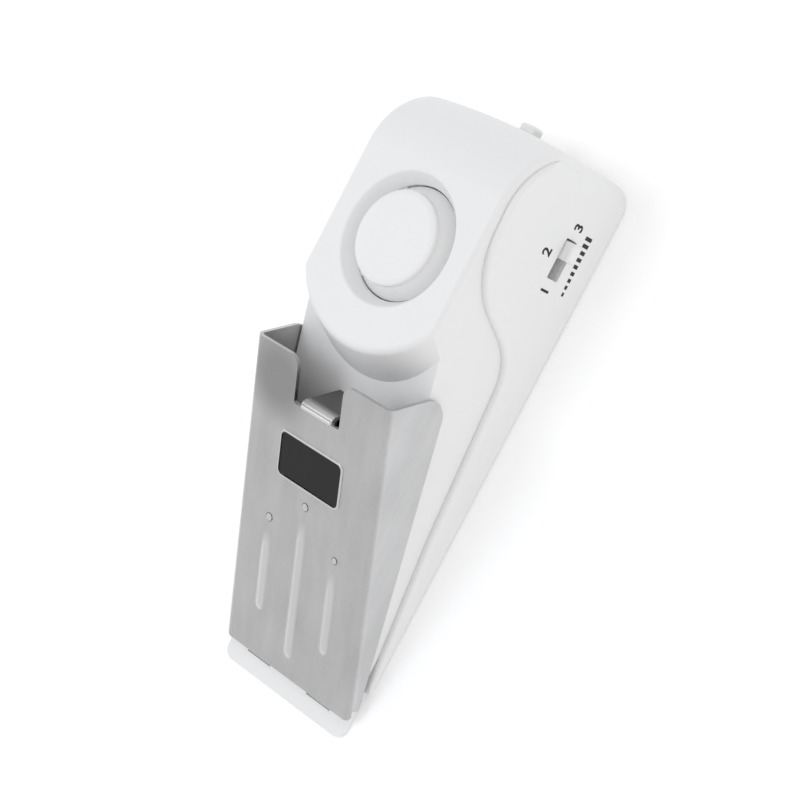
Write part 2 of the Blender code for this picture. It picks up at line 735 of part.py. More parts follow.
def make_upper_housing(material):
    """Wedge shell with the siren bulge, its recess and everything moulded inside it."""
    shell = upper_shell()
    seat = rod("seat", RECESS_RADIUS + SEAT_MARGIN, (SIREN_X, 0), SEAT_BOTTOM,
               HEIGHT - UPPER_WALL + WELD, BULGE_STEPS)
    bosses, holes = upper_bosses()
    tube, bore = plunger_guide()
    fuse(shell, seat, tube, *bosses)
    tools = [bore, siren_recess(), *sound_slots(), *holes]
    tools.append(slot_tool("Y", SENSITIVITY_X, SENSITIVITY_Z, -WIDTH, -CAVITY_HALF + OVERRUN))
    tools.append(slot_tool("X", 0, POWER_Z, CAVITY_REAR - OVERRUN, REAR_X))
    rail = COVER_HALF + GAP
    tools.append(block("rail", CAVITY_REAR - OVERRUN, REAR_X, -rail, rail, 0,
                       COVER_SLOT_TOP + GAP))
    slot_half = KNUCKLE_WIDTH / 2 + KNUCKLE_SLOT_PLAY
    reach = KNUCKLE_RADIUS + KNUCKLE_SLOT_PLAY
    for side in (-1, 1):
        y = side * KNUCKLE_CENTRE_Y
        tools.append(block("hinge_slot", HINGE_X - reach, HINGE_X + reach,
                           y - slot_half, y + slot_half, BASE_Z + KNUCKLE_SKIN, HEIGHT))
    x0, x1 = hook_slot()
    half = HOOK_HALF + HOOK_SLOT_PLAY
    tools.append(block("hook_slot", x0, x1, -half, half, WELL_FLOOR_Z, HEIGHT))
    return dress(cut(shell, *tools), "upper_housing", material)


# Lower housing

def panel_profile():
    """Side view of the lower housing: a strip that sweeps up into the panel round the siren."""
    panel_top = HEIGHT - PANEL_TOP_DROP
    return [
        (STRIP_FRONT, BASE_Z, 0, ARC_STEPS),
        (REAR_X, BASE_Z, HEEL_ROUND, ARC_STEPS),
        (REAR_X, panel_top, CROWN_RADIUS, CROWN_STEPS),
        (SIREN_X - SWEEP_HEAD_LEAD, panel_top, SWEEP_HEAD_RADIUS, CROWN_STEPS),
        (SIREN_X - SWEEP_FOOT_LEAD, SWEEP_FOOT_Z, SWEEP_FOOT_RADIUS, CROWN_STEPS),
        (TIP_X + STRIP_BEND_START, STRIP_BEND_Z, STRIP_BEND_RADIUS, ARC_STEPS),
        (STRIP_FRONT, BASE_Z + STRIP_HEIGHT, STRIP_NOSE, ARC_STEPS),
    ]


def battery_bay():
    """Walls and roof of the battery bay, and the hollow they close in."""
    half = BAY_HALF + BAY_SIDE_WALL
    walls = block("bay", BAY_FRONT - BAY_WALL, BAY_REAR + BAY_WALL, -half, half,
                  FLOOR_TOP - WELD, BAY_ROOF_Z + BAY_WALL)
    hollow = block("hollow", BAY_FRONT, BAY_REAR, -BAY_HALF, BAY_HALF,
                   COVER_SLOT_TOP - WELD, BAY_ROOF_Z)
    return walls, hollow


def cover_slot():
    """Cutters for the mouth of the bay and the rails that the cover slides in."""
    mouth = block("mouth", BAY_FRONT, REAR_X + OVERRUN, -BAY_MOUTH_HALF, BAY_MOUTH_HALF,
                  0, COVER_SLOT_TOP)
    wide = COVER_HALF + GAP
    rails = block("rails", BAY_FRONT, REAR_X + OVERRUN, -wide, wide,
                  BASE_Z + COVER_LEDGE, COVER_SLOT_TOP)
    return mouth, rails


def pad_places():
    """Plan outlines of the rubber pads: one across the front, one each side of the bay."""
    outer = WIDTH / 2 - PAD_MARGIN
    inner = COVER_HALF + PANEL_WALL
    front = BAY_FRONT + PAD_INSET
    rear = front + SIDE_PAD_LENGTH
    return [
        (PLUNGER_X + FRONT_PAD_LEAD, BAY_FRONT - PAD_INSET, -outer, outer),
        (front, rear, inner, outer),
        (front, rear, -outer, -inner),
    ]


def make_lower_housing(material):
    """Base tray with proud side panels, battery bay, screw pillars and board posts."""
    outline = []
    corners = panel_profile()
    for index, corner in enumerate(corners):
        trio = [corners[index - 1][:3], corner[:3], corners[(index + 1) % len(corners)][:3]]
        plain = [(trio[0][0], trio[0][1], 0), trio[1], (trio[2][0], trio[2][1], 0)]
        outline += rounded(plain, corner[3])[1:-1]
    tray = prism("lower", outline, "Y", -WIDTH / 2, WIDTH / 2)
    soften_long_edges(tray, WIDTH / 2, PANEL_EDGE_ROUND, BASE_Z + STRIP_HEIGHT + PANEL_EDGE_ROUND,
                      REAR_X)
    plan = plan_outline(WIDTH / 2, STRIP_FRONT - OVERRUN, REAR_X, 0, REAR_CORNER)
    overlap(tray, prism("plan", plan, "Z", 0, HEIGHT))
    inner = plan_outline(PANEL_INNER, TIP_X, UPPER_REAR + GAP, 0, REAR_CORNER - PANEL_WALL)
    rim = block("rim", SIREN_X, REAR_X + OVERRUN, -PANEL_INNER, PANEL_INNER, REAR_RIM_Z, HEIGHT)
    cut(tray, prism("inside", inner, "Z", FLOOR_TOP, HEIGHT + OVERRUN), rim)
    walls, hollow = battery_bay()
    pillars = []
    tools = [hollow, *cover_slot()]
    for x, y in housing_screws():
        pillars.append(rod("pillar", PILLAR_RADIUS, (x, y), FLOOR_TOP - WELD, PILLAR_TOP))
        tools.append(rod("well", HEAD_WELL_RADIUS, (x, y), 0, SCREW_HEAD_TOP + GAP))
        tools.append(rod("hole", BOSS_HOLE, (x, y), 0, HEIGHT))
    for x, y in board_screws():
        pillars.append(rod("post", BOSS_RADIUS, (x, y), FLOOR_TOP - WELD,
                           FLOOR_TOP + BOARD_LIFT))
        tools.append(rod("pilot", BOSS_HOLE, (x, y), FLOOR_TOP, HEIGHT))
    fuse(tray, walls, *pillars)
    for x0, x1, y0, y1 in pad_places():
        outline = box_outline(x0 - GAP, x1 + GAP, y0 - GAP, y1 + GAP, PAD_CORNER + GAP)
        tools.append(prism("pad_pocket", outline, "Z", 0, PAD_THICK + GAP))
    tools.append(slot_tool("Y", SENSITIVITY_X, SENSITIVITY_Z, -WIDTH, -PANEL_INNER + OVERRUN))
    tools.append(slot_tool("X", 0, POWER_Z, UPPER_REAR, REAR_X + OVERRUN))
    for side in (-1, 1):
        tools.append(lying_rod("lead_hole", LEAD_HOLE_RADIUS, "X",
                               (side * BATTERY_LEAD_Y, BATTERY_LEAD_Z),
                               BAY_FRONT - BAY_WALL - OVERRUN, BAY_FRONT + OVERRUN))
    return dress(cut(tray, *tools), "lower_housing", material)


# Siren

def make_siren_cap(material):
    """Inverted cup with a flange that locks it under the recess floor."""
    top = HEIGHT + CAP_PROUD
    bore = CAP_RADIUS - CAP_SKIRT_WALL
    flange = CAP_RADIUS + CAP_FLANGE
    roof = top - CAP_TOP_WALL
    section = rounded([(0, roof, 0), (bore, roof, 0), (bore, FLANGE_BOTTOM, 0),
                       (flange, FLANGE_BOTTOM, 0), (flange, FLANGE_TOP, 0),
                       (CAP_RADIUS, FLANGE_TOP, 0), (CAP_RADIUS, top, CAP_EDGE_ROUND),
                       (0, top, 0)], 3)
    cap = turned("cap", section, (SIREN_X, 0), BULGE_STEPS)
    low = FLANGE_TOP
    window = block("window", SIREN_X - flange, SIREN_X + flange, -CAP_WINDOW_HALF,
                   CAP_WINDOW_HALF, low, low + CAP_WINDOW_HEIGHT)
    return dress(cut(cap, window), "siren_cap", material)


def make_siren_chamber(material):
    """Cup under the piezo disc, with two screwed ears."""
    outer = CHAMBER_RADIUS
    bore = outer - CHAMBER_WALL
    step_z = CHAMBER_TOP - CHAMBER_STEP
    ledge = PIEZO_RADIUS - CHAMBER_WALL
    floor = CHAMBER_BOTTOM + CHAMBER_WALL
    section = [(0, CHAMBER_BOTTOM), (outer, CHAMBER_BOTTOM), (outer, CHAMBER_TOP),
               (bore, CHAMBER_TOP), (bore, step_z), (ledge, step_z), (ledge, floor), (0, floor)]
    cup = turned("chamber", section, (SIREN_X, 0), BULGE_STEPS // 2)
    ears = []
    holes = []
    for x, y in siren_ears():
        side = math.copysign(1, y)
        reach = abs(y)
        outline = box_outline(x - SIREN_EAR_RADIUS, x + SIREN_EAR_RADIUS,
                              side * reach - SIREN_EAR_RADIUS, side * reach + SIREN_EAR_RADIUS,
                              SIREN_EAR_RADIUS / 2)
        web = block("web", x - SIREN_EAR_RADIUS, x + SIREN_EAR_RADIUS,
                    min(side * ledge, side * reach), max(side * ledge, side * reach),
                    CHAMBER_BOTTOM, CHAMBER_BOTTOM + SIREN_EAR_THICK)
        ears += [prism("ear", outline, "Z", CHAMBER_BOTTOM, CHAMBER_BOTTOM + SIREN_EAR_THICK), web]
        holes.append(rod("hole", BOSS_HOLE, (x, y), 0, HEIGHT))
    fuse(cup, *ears)
    return dress(cut(cup, *holes), "siren_chamber", material)


def make_piezo(brass, ceramic):
    """Brass sounder disc and the ceramic disc bonded to it."""
    z = CHAMBER_TOP - CHAMBER_STEP + GAP
    disc = rod("piezo_disc", PIEZO_RADIUS, (SIREN_X, 0), z, z + PIEZO_THICK, ROUND_STEPS)
    z += PIEZO_THICK + GAP
    top = rod("piezo_ceramic", CERAMIC_RADIUS, (SIREN_X, 0), z, z + CERAMIC_THICK, ROUND_STEPS)
    dress(disc, "piezo_disc", brass)
    dress(top, "piezo_ceramic", ceramic)


# Screws

def screw(x, y, seat, length, down):
    """Pan-head screw with a crossed recess: its head is below its seat, or above it."""
    sign = -1 if down else 1
    head = rod("head", SCREW_HEAD_RADIUS, (x, y), min(seat, seat + sign * SCREW_HEAD_THICK),
               max(seat, seat + sign * SCREW_HEAD_THICK))
    shank = rod("shank", SCREW_RADIUS, (x, y), min(seat, seat - sign * length) - WELD * down,
                max(seat, seat - sign * length) + WELD * (not down))
    fuse(head, shank)
    reach = SCREW_HEAD_RADIUS - SCREW_CROSS
    face = seat + sign * SCREW_HEAD_THICK
    low = min(face + sign * OVERRUN, face - sign * SCREW_CROSS)
    high = max(face + sign * OVERRUN, face - sign * SCREW_CROSS)
    arm = SCREW_CROSS / 2
    return cut(head, block("arm", x - reach, x + reach, y - arm, y + arm, low, high),
               block("arm", x - arm, x + arm, y - reach, y + reach, low, high))


def make_screws(material):
    """The screws that hold the housings, the board and the siren chamber."""
    length = HOUSING_PILLAR + HOUSING_SCREW_BITE
    dress_set([screw(x, y, SCREW_HEAD_TOP, length, True) for x, y in housing_screws()],
              "housing_screw", material)
    seat = BOARD_TOP + GAP
    bite = BOARD_LIFT + BOARD_THICK - GAP
    dress_set([screw(x, y, seat, bite, False) for x, y in board_screws()], "board_screw", material)
    seat = CHAMBER_BOTTOM - GAP
    bite = SEAT_BOTTOM - CHAMBER_BOTTOM - GAP
    dress_set([screw(x, y, seat, bite, True) for x, y in siren_ears()], "siren_screw", material)


# Circuit board and parts

def make_board(material):
    """Circuit board with a hole at each corner."""
    outline = box_outline(BOARD_FRONT, BOARD_REAR, -BOARD_HALF, BOARD_HALF, BOARD_CORNER, 2)
    board = prism("board", outline, "Z", BOARD_BOTTOM, BOARD_TOP)
    holes = [rod("hole", BOSS_HOLE, place, 0, HEIGHT) for place in board_screws()]
    return dress(cut(board, *holes), "circuit_board", material)


def board_place(x_share, y_share):
    """A place on the board from shares of its length and half width."""
    return BOARD_FRONT + BOARD_LENGTH * x_share, BOARD_HALF * y_share


CHIP_PLACE_SHARES = (0.47, -0.02)
COIL_PLACE_SHARES = (0.47, 0.52)
CAPACITOR_PLACE_SHARES = ((0.72, -0.66), (0.50, -0.72))
TRANSISTOR_PLACE_SHARES = (0.74, 0.66)
RESISTOR_PLACE_SHARES = (0.12, 0.25)
SENSOR_PLACE_SHARES = (0.20, -0.40)


def make_chip(material):
    """Small moulded chip with gull legs."""
    x, y = board_place(*CHIP_PLACE_SHARES)
    lift = CHIP_LEG_THICK / 2
    body = block("chip", x - CHIP_LENGTH / 2, x + CHIP_LENGTH / 2, y - CHIP_WIDTH / 2,
                 y + CHIP_WIDTH / 2, PART_Z + lift, PART_Z + CHIP_HEIGHT)
    legs = []
    for index in range(CHIP_LEG_COUNT):
        leg_x = x + (index - (CHIP_LEG_COUNT - 1) / 2) * CHIP_LEG_PITCH
        for side in (-1, 1):
            root = y + side * (CHIP_WIDTH / 2 - WELD)
            tip = y + side * (CHIP_WIDTH / 2 + CHIP_LEG_REACH)
            legs.append(block("leg", leg_x - CHIP_LEG_WIDTH / 2, leg_x + CHIP_LEG_WIDTH / 2,
                              min(root, tip), max(root, tip), PART_Z, PART_Z + CHIP_LEG_THICK))
    return dress(fuse(body, *legs), "alarm_chip", material)


def make_coil(material):
    """Wound drum that steps the voltage up for the siren."""
    top = PART_Z + COIL_HEIGHT
    section = [(0, PART_Z), (COIL_RADIUS, PART_Z), (COIL_RADIUS, PART_Z + COIL_FLANGE),
               (COIL_CORE_RADIUS, PART_Z + COIL_FLANGE), (COIL_CORE_RADIUS, top - COIL_FLANGE),
               (COIL_RADIUS, top - COIL_FLANGE), (COIL_RADIUS, top), (0, top)]
    return dress(turned("coil", section, board_place(*COIL_PLACE_SHARES), 24), "boost_coil",
                 material)


def make_capacitors(material):
    """Two can capacitors with a crimp near the foot."""
    cans = []
    waist = CAPACITOR_RADIUS - CAPACITOR_CRIMP
    low = PART_Z + CAPACITOR_FOOT
    for shares in CAPACITOR_PLACE_SHARES:
        section = [(0, PART_Z), (CAPACITOR_RADIUS, PART_Z), (CAPACITOR_RADIUS, low),
                   (waist, low + CAPACITOR_CRIMP), (CAPACITOR_RADIUS, low + 2 * CAPACITOR_CRIMP),
                   (CAPACITOR_RADIUS, PART_Z + CAPACITOR_HEIGHT), (0, PART_Z + CAPACITOR_HEIGHT)]
        cans.append(turned("can", section, board_place(*shares), 20))
    dress_set(cans, "capacitor", material)


def make_transistor(material):
    """Half-round transistor that drives the siren."""
    x, y = board_place(*TRANSISTOR_PLACE_SHARES)
    start = math.acos(-TRANSISTOR_FLAT / TRANSISTOR_RADIUS)
    outline = circle_points((x, y), TRANSISTOR_RADIUS, -start, start, SMALL_STEPS)
    body = prism("transistor", outline, "Z", PART_Z, PART_Z + TRANSISTOR_HEIGHT)
    return dress(body, "transistor", material)


def make_resistors(material):
    """A row of axial resistors with fuller ends."""
    x, y = board_place(*RESISTOR_PLACE_SHARES)
    bodies = []
    half = RESISTOR_LENGTH / 2
    for index in range(RESISTOR_COUNT):
        along = x + (index - (RESISTOR_COUNT - 1) / 2) * RESISTOR_PITCH + RESISTOR_PITCH / 2
        centre = (along, PART_Z + RESISTOR_RADIUS)
        waist = lying_rod("waist", RESISTOR_WAIST, "Y", centre, y - half + WELD, y + half - WELD, 12)
        ends = [lying_rod("end", RESISTOR_RADIUS, "Y", centre, y - half, y - half + RESISTOR_END,
                          12),
                lying_rod("end", RESISTOR_RADIUS, "Y", centre, y + half - RESISTOR_END, y + half,
                          12)]
        bodies.append(fuse(waist, *ends))
    dress_set(bodies, "resistor", material)


def make_sensor(material):
    """Vibration sensor: a can with a spring inside it, lying across the board."""
    x, y = board_place(*SENSOR_PLACE_SHARES)
    centre = (x, PART_Z + SENSOR_RADIUS)
    half = SENSOR_LENGTH / 2
    can = lying_rod("can", SENSOR_RADIUS, "Y", centre, y - half, y + half - SENSOR_CAP, 20)
    plug = lying_rod("plug", SENSOR_RADIUS - SENSOR_CAP_STEP, "Y", centre,
                     y + half - SENSOR_CAP - WELD, y + half, 20)
    return dress(fuse(can, plug), "vibration_sensor", material)


def make_trigger(material):
    """Micro switch under the plate's hook."""
    foot = notch_floor() + HOOK_BEND - HOOK_FOOT
    reach = foot * math.cos(PRESSED_ANGLE) + hook_reach() * math.sin(PRESSED_ANGLE)
    x = HINGE_X + reach + TRIGGER_LEAD
    body = block("trigger", x - TRIGGER_LENGTH / 2, x + TRIGGER_LENGTH / 2, -TRIGGER_WIDTH / 2,
                 TRIGGER_WIDTH / 2, PART_Z, PART_Z + TRIGGER_HEIGHT)
    button = rod("button", TRIGGER_BUTTON_RADIUS, (x, 0), PART_Z + TRIGGER_HEIGHT - WELD,
                 PART_Z + TRIGGER_HEIGHT + TRIGGER_BUTTON_HEIGHT)
    return dress(fuse(body, button), "trigger_switch", material)


# Slide switches and knobs, built along +X with the outside of the wall at zero

def slide_switch(wall):
    """Switch body behind a wall, with a pocket for the knob's tongue."""
    face = -wall - GAP
    body = block("switch", face - SWITCH_DEPTH, face, -SWITCH_LENGTH / 2, SWITCH_LENGTH / 2,
                 -SWITCH_HEIGHT / 2, SWITCH_HEIGHT / 2)
    half = KNOB_TONGUE_LENGTH / 2 + SWITCH_PITCH + PLAY
    rise = KNOB_TONGUE_HEIGHT / 2 + PLAY
    pocket = block("pocket", face - SWITCH_POCKET_DEPTH, face + OVERRUN, -half, half, -rise, rise)
    return cut(body, pocket)


def slide_knob(wall):
    """Knob one step up its slot: a rounded cap, a stem and a tongue in the switch."""
    inner = -wall + GAP
    half = KNOB_LENGTH / 2
    rise = KNOB_HEIGHT / 2
    outline = rounded([(inner, -rise, 0), (KNOB_PROUD, -rise, KNOB_ROUND),
                       (KNOB_PROUD, rise, KNOB_ROUND), (inner, rise, 0)])
    cap = prism("knob", outline, "Y", -half, half)
    long_way = rounded([(inner - OVERRUN, -half, 0), (KNOB_PROUD, -half, KNOB_ROUND),
                        (KNOB_PROUD, half, KNOB_ROUND), (inner - OVERRUN, half, 0)])
    overlap(cap, prism("ends", long_way, "Z", -KNOB_HEIGHT, KNOB_HEIGHT))
    tip = -wall - GAP - SWITCH_POCKET_DEPTH + PLAY
    tongue = block("tongue", tip, inner + WELD, -KNOB_TONGUE_LENGTH / 2, KNOB_TONGUE_LENGTH / 2,
                   -KNOB_TONGUE_HEIGHT / 2, KNOB_TONGUE_HEIGHT / 2)
    fuse(cap, tongue)
    return cap


def place_switch(thing, point, turn, shift):
    """Turn a piece from +X to the way its wall faces and set it in its slot."""
    step = Matrix.Translation((0, shift, 0))
    facing = Matrix.Rotation(turn, 4, "Z")
    thing.data.transform(Matrix.Translation(point) @ facing @ step)
    return thing


def make_switches(metal, knob_material):
    """Sensitivity switch in the side and power switch in the rear, each with its knob."""
    wall = PANEL_WALL + GAP + UPPER_WALL
    side_point = (SENSITIVITY_X, -WIDTH / 2, SENSITIVITY_Z)
    rear_point = (REAR_X, 0, POWER_Z)
    side_turn = -math.pi / 2
    switch = place_switch(slide_switch(wall), side_point, side_turn, 0)
    dress(switch, "sensitivity_switch", metal)
    knob = place_switch(slide_knob(wall), side_point, side_turn, SWITCH_PITCH)
    dress(knob, "sensitivity_knob", knob_material)
    set_origin(knob, (SENSITIVITY_X + SWITCH_PITCH, -WIDTH / 2, SENSITIVITY_Z))
    switch = place_switch(slide_switch(wall), rear_point, 0, 0)
    dress(switch, "power_switch", metal)
    knob = place_switch(slide_knob(wall), rear_point, 0, SWITCH_PITCH)
    dress(knob, "power_knob", knob_material)
    set_origin(knob, (REAR_X, SWITCH_PITCH, POWER_Z))


# Battery snap, leads, cover and pads

def make_snap(plastic, metal):
    """Battery snap against the front of the bay, and its two studs."""
    face = BAY_FRONT + GAP
    outline = box_outline(-SNAP_HALF_WIDTH, SNAP_HALF_WIDTH, SNAP_LOW, SNAP_LOW + SNAP_HEIGHT,
                          SNAP_CORNER)
    dress(prism("snap", outline, "X", face, face + SNAP_THICK), "battery_snap", plastic)
    studs = []
    base = face + SNAP_THICK + GAP
    z = SNAP_LOW + SNAP_HEIGHT / 2
    for side in (-1, 1):
        centre = (side * STUD_SPACING / 2, z)
        neck = lying_rod("neck", STUD_WAIST, "X", centre, base, base + STUD_LENGTH)
        rim = lying_rod("rim", STUD_RADIUS, "X", centre, base + STUD_LENGTH / 2, base + STUD_LENGTH)
        studs.append(fuse(neck, rim))
    dress_set(studs, "snap_stud", metal)


def lead(name, points):
    """A wire laid along a smooth curve through its points."""
    knots = [Vector(point) for point in points]
    path = []
    for index in range(len(knots) - 1):
        before = knots[max(index - 1, 0)]
        start = knots[index]
        end = knots[index + 1]
        after = knots[min(index + 2, len(knots) - 1)]
        for step in range(4):
            t = step / 4
            path.append(0.5 * (2 * start + (end - before) * t
                               + (2 * before - 5 * start + 4 * end - after) * t * t
                               + (3 * start - before - 3 * end + after) * t ** 3))
    path.append(knots[-1])
    return tube(name, path, LEAD_RADIUS, 2)


def tube(name, path, radius, resolution):
    """A round tube along a path, closed at both ends."""
    curve = bpy.data.curves.new(name, "CURVE")
    curve.dimensions = "3D"
    curve.bevel_depth = radius
    curve.bevel_resolution = resolution
    curve.use_fill_caps = True
    spline = curve.splines.new("POLY")
    spline.points.add(len(path) - 1)
    for point, place in zip(spline.points, path):
        point.co = (*place, 1)
    thing = new_object(name, curve)
    graph = bpy.context.evaluated_depsgraph_get()
    mesh = bpy.data.meshes.new_from_object(thing.evaluated_get(graph))
    bpy.data.objects.remove(thing, do_unlink=True)
    shape = bmesh.new()
    shape.from_mesh(mesh)
    bmesh.ops.remove_doubles(shape, verts=shape.verts, dist=SLIVER)
    return from_bmesh(name, shape)


BATTERY_LEAD_SHARES = ((0.0, 1.0), (0.35, 0.98), (0.70, 0.75), (0.88, 0.45), (0.92, 0.0))
SIREN_LEAD_SHARES = ((1.0, 1.0), (0.70, 0.98), (0.35, 0.96), (0.14, 0.92), (0.03, 0.65), (0.0, 0.0))


def make_leads(red, black, white):
    """Battery leads through the bay wall and siren leads over the bay, down to the board."""
    low = PART_Z + LEAD_RADIUS / 2
    start = BAY_FRONT - GAP
    run = start - (BOARD_REAR - BOARD_SCREW_INSET_X / 2) + LEAD_HOLE_RADIUS
    rise = BATTERY_LEAD_Z - low
    for side, name, material in ((-1, "red_lead", red), (1, "black_lead", black)):
        points = [(start - run * a, side * BATTERY_LEAD_Y, low + rise * b)
                  for a, b in BATTERY_LEAD_SHARES]
        dress(lead(name, points), name, material)
    end = BOARD_REAR - BOARD_SCREW_INSET_X
    top = CHAMBER_BOTTOM - LEAD_RADIUS - GAP
    run = SIREN_X - CHAMBER_RADIUS / 2 - end
    pair = []
    for side in (-1, 1):
        points = [(end + run * a, side * SIREN_LEAD_Y, low + (top - low) * b)
                  for a, b in SIREN_LEAD_SHARES]
        pair.append(lead("siren_lead", points))
    dress_set(pair, "siren_lead", white)


def make_cover(material):
    """Battery cover that slides out at the rear, with finger grips."""
    front = BAY_FRONT + GAP
    edge = block("cover", front, REAR_X, -COVER_HALF, COVER_HALF, COVER_EDGE_LOW, COVER_EDGE_TOP)
    half = BAY_MOUTH_HALF - GAP
    panel = block("panel", front, REAR_X, -half, half, BASE_Z + GAP, COVER_EDGE_LOW + WELD)
    fuse(edge, panel)
    grips = []
    for index in range(COVER_GRIP_COUNT):
        x = REAR_X - COVER_GRIP_INSET - index * COVER_GRIP_PITCH
        low = BASE_Z + GAP
        grips.append(block("grip", x - COVER_GRIP_WIDTH, x, -COVER_GRIP_HALF, COVER_GRIP_HALF,
                           0, low + COVER_GRIP_DEPTH))
    return dress(cut(edge, *grips), "battery_cover", material)


def make_pads(material):
    """Rubber pads that the alarm stands on."""
    pads = []
    for x0, x1, y0, y1 in pad_places():
        pads.append(prism("pad", box_outline(x0, x1, y0, y1, PAD_CORNER), "Z", 0, PAD_THICK))
    dress_set(pads, "grip_pad", material)


# Plunger and spring

def dome_centre():
    """Height of the plunger dome's centre, one gap short of the raised plate."""
    arm = PLUNGER_X - HINGE_X
    reach = arm * math.sin(REST_ANGLE) - PLUNGER_DOME - GAP
    return HINGE_Z + reach / math.cos(REST_ANGLE)


def make_plunger(material):
    """Domed cup that pushes the plate up."""
    centre = dome_centre()
    shoulder = math.asin(PLUNGER_RADIUS / PLUNGER_DOME)
    dome = circle_points((0, centre), PLUNGER_DOME, math.pi / 2 - shoulder, math.pi / 2, 6)
    bore = PLUNGER_RADIUS - PLUNGER_WALL
    roof = centre + PLUNGER_DOME * math.cos(shoulder) - PLUNGER_WALL
    section = [(0, roof), (bore, roof), (bore, PLUNGER_SKIRT_Z), (PLUNGER_RADIUS, PLUNGER_SKIRT_Z),
               *dome[:-1], (0, centre + PLUNGER_DOME)]
    cup = dress(turned("plunger", section, (PLUNGER_X, 0), 24), "lift_plunger", material)
    set_origin(cup, (PLUNGER_X, 0, PLUNGER_SKIRT_Z))
    return roof


def make_spring(material, roof):
    """Coil spring from the well floor to the roof of the plunger."""
    low = WELL_FLOOR_Z + GAP + SPRING_WIRE
    high = roof - GAP - SPRING_WIRE
    path = []
    count = SPRING_TURNS * CURL_POINTS
    for step in range(count + 1):
        angle = math.tau * step / CURL_POINTS
        path.append(Vector((PLUNGER_X + SPRING_RADIUS * math.cos(angle),
                            SPRING_RADIUS * math.sin(angle), low + (high - low) * step / count)))
    least = min((path[i] - path[i + CURL_POINTS]).length for i in range(count + 1 - CURL_POINTS))
    print("return_spring: least gap between turns", round((least - 2 * SPRING_WIRE) * 1000, 3), "mm")
    return dress(tube("return_spring", path, SPRING_WIRE, 1), "return_spring", material)


# Pressure plate, modelled flat (along, across, up from the hinge axis) and then raised

def rest_matrix():
    """From the flat plate's own axes to its raised place in the alarm."""
    return Matrix.Translation((HINGE_X, 0, HINGE_Z)) @ Matrix.Rotation(-REST_ANGLE, 4, "Y")


def notch_floor():
    return PLATE_LENGTH - NOTCH_DEPTH


def hook_drop(angle, along, depth):
    """How far below the plate a place along it meets a level below the deck."""
    tilt = angle - DECK_ANGLE
    return (along * math.sin(tilt) + DECK_GAP + depth) / math.cos(tilt)


def hook_reach():
    """Depth of the hook: its foot lies just under the deck when the plate is up."""
    bend = notch_floor() + HOOK_BEND
    return hook_drop(REST_ANGLE, bend, UPPER_WALL + GAP) + SHEET


def hook_slot():
    """Front and rear of the slot in the deck that the hook's tab swings in."""
    places = []
    for angle in (REST_ANGLE, PRESSED_ANGLE):
        for along in (notch_floor() + HOOK_BEND, notch_floor() + HOOK_BEND + SHEET):
            for depth in (0, UPPER_WALL):
                drop = hook_drop(angle, along, depth)
                places.append(HINGE_X + along * math.cos(angle) + drop * math.sin(angle))
    return min(places) - HOOK_SLOT_PLAY, max(places) + HOOK_SLOT_PLAY


def plate_shell():
    """Folded channel trimmed to the flange outline and to the notched plan."""
    depth = FLANGE_REAR + SHEET
    outer = rounded([(-PLATE_HALF, -depth, 0), (PLATE_HALF, -depth, 0),
                     (PLATE_HALF, SHEET, FOLD_RADIUS), (-PLATE_HALF, SHEET, FOLD_RADIUS)])
    half = PLATE_HALF - SHEET
    inner = rounded([(-half, -depth - OVERRUN, 0), (half, -depth - OVERRUN, 0),
                     (half, 0, FOLD_RADIUS - SHEET), (-half, 0, FOLD_RADIUS - SHEET)])
    channel = prism("plate", outer, "X", -PLATE_TOE, PLATE_LENGTH)
    cut(channel, prism("inside", inner, "X", -PLATE_TOE - OVERRUN, PLATE_LENGTH + OVERRUN))
    side = rounded([(-PLATE_TOE, 0, 0), (FLANGE_START, 0, 0), (FLANGE_START, -FLANGE_FRONT,
                    FLANGE_NOSE), (PLATE_LENGTH, -FLANGE_REAR, FLANGE_CORNER),
                    (PLATE_LENGTH, SHEET + OVERRUN, 0), (-PLATE_TOE, SHEET + OVERRUN, 0)])
    overlap(channel, prism("side", side, "Y", -WIDTH, WIDTH))
    floor = notch_floor()
    plan = rounded([(-PLATE_TOE, -PLATE_HALF, TOE_CORNER), (PLATE_LENGTH, -PLATE_HALF, 0),
                    (PLATE_LENGTH, -NOTCH_HALF, NOTCH_ROUND),
                    (floor, -NOTCH_HALF, NOTCH_INNER_ROUND), (floor, NOTCH_HALF, NOTCH_INNER_ROUND),
                    (PLATE_LENGTH, NOTCH_HALF, NOTCH_ROUND), (PLATE_LENGTH, PLATE_HALF, 0),
                    (-PLATE_TOE, PLATE_HALF, TOE_CORNER)])
    return overlap(channel, prism("plan", plan, "Z", -LENGTH, LENGTH))


def hook():
    """Tab bent down from the notch, with a foot that catches under the deck."""
    floor = notch_floor()
    bend = floor + HOOK_BEND
    back = bend + SHEET
    root = floor - SHEET
    reach = hook_reach()
    outline = rounded([
        (root, 0, 0), (bend, 0, HOOK_BEND),
        (bend, -reach + SHEET, 0), (bend - HOOK_FOOT, -reach + SHEET, 0),
        (bend - HOOK_FOOT, -reach, 0), (back, -reach, SHEET / 2),
        (back, SHEET, HOOK_BEND + SHEET / 2), (root, SHEET, 0),
    ])
    return prism("hook", outline, "Y", -HOOK_HALF, HOOK_HALF)


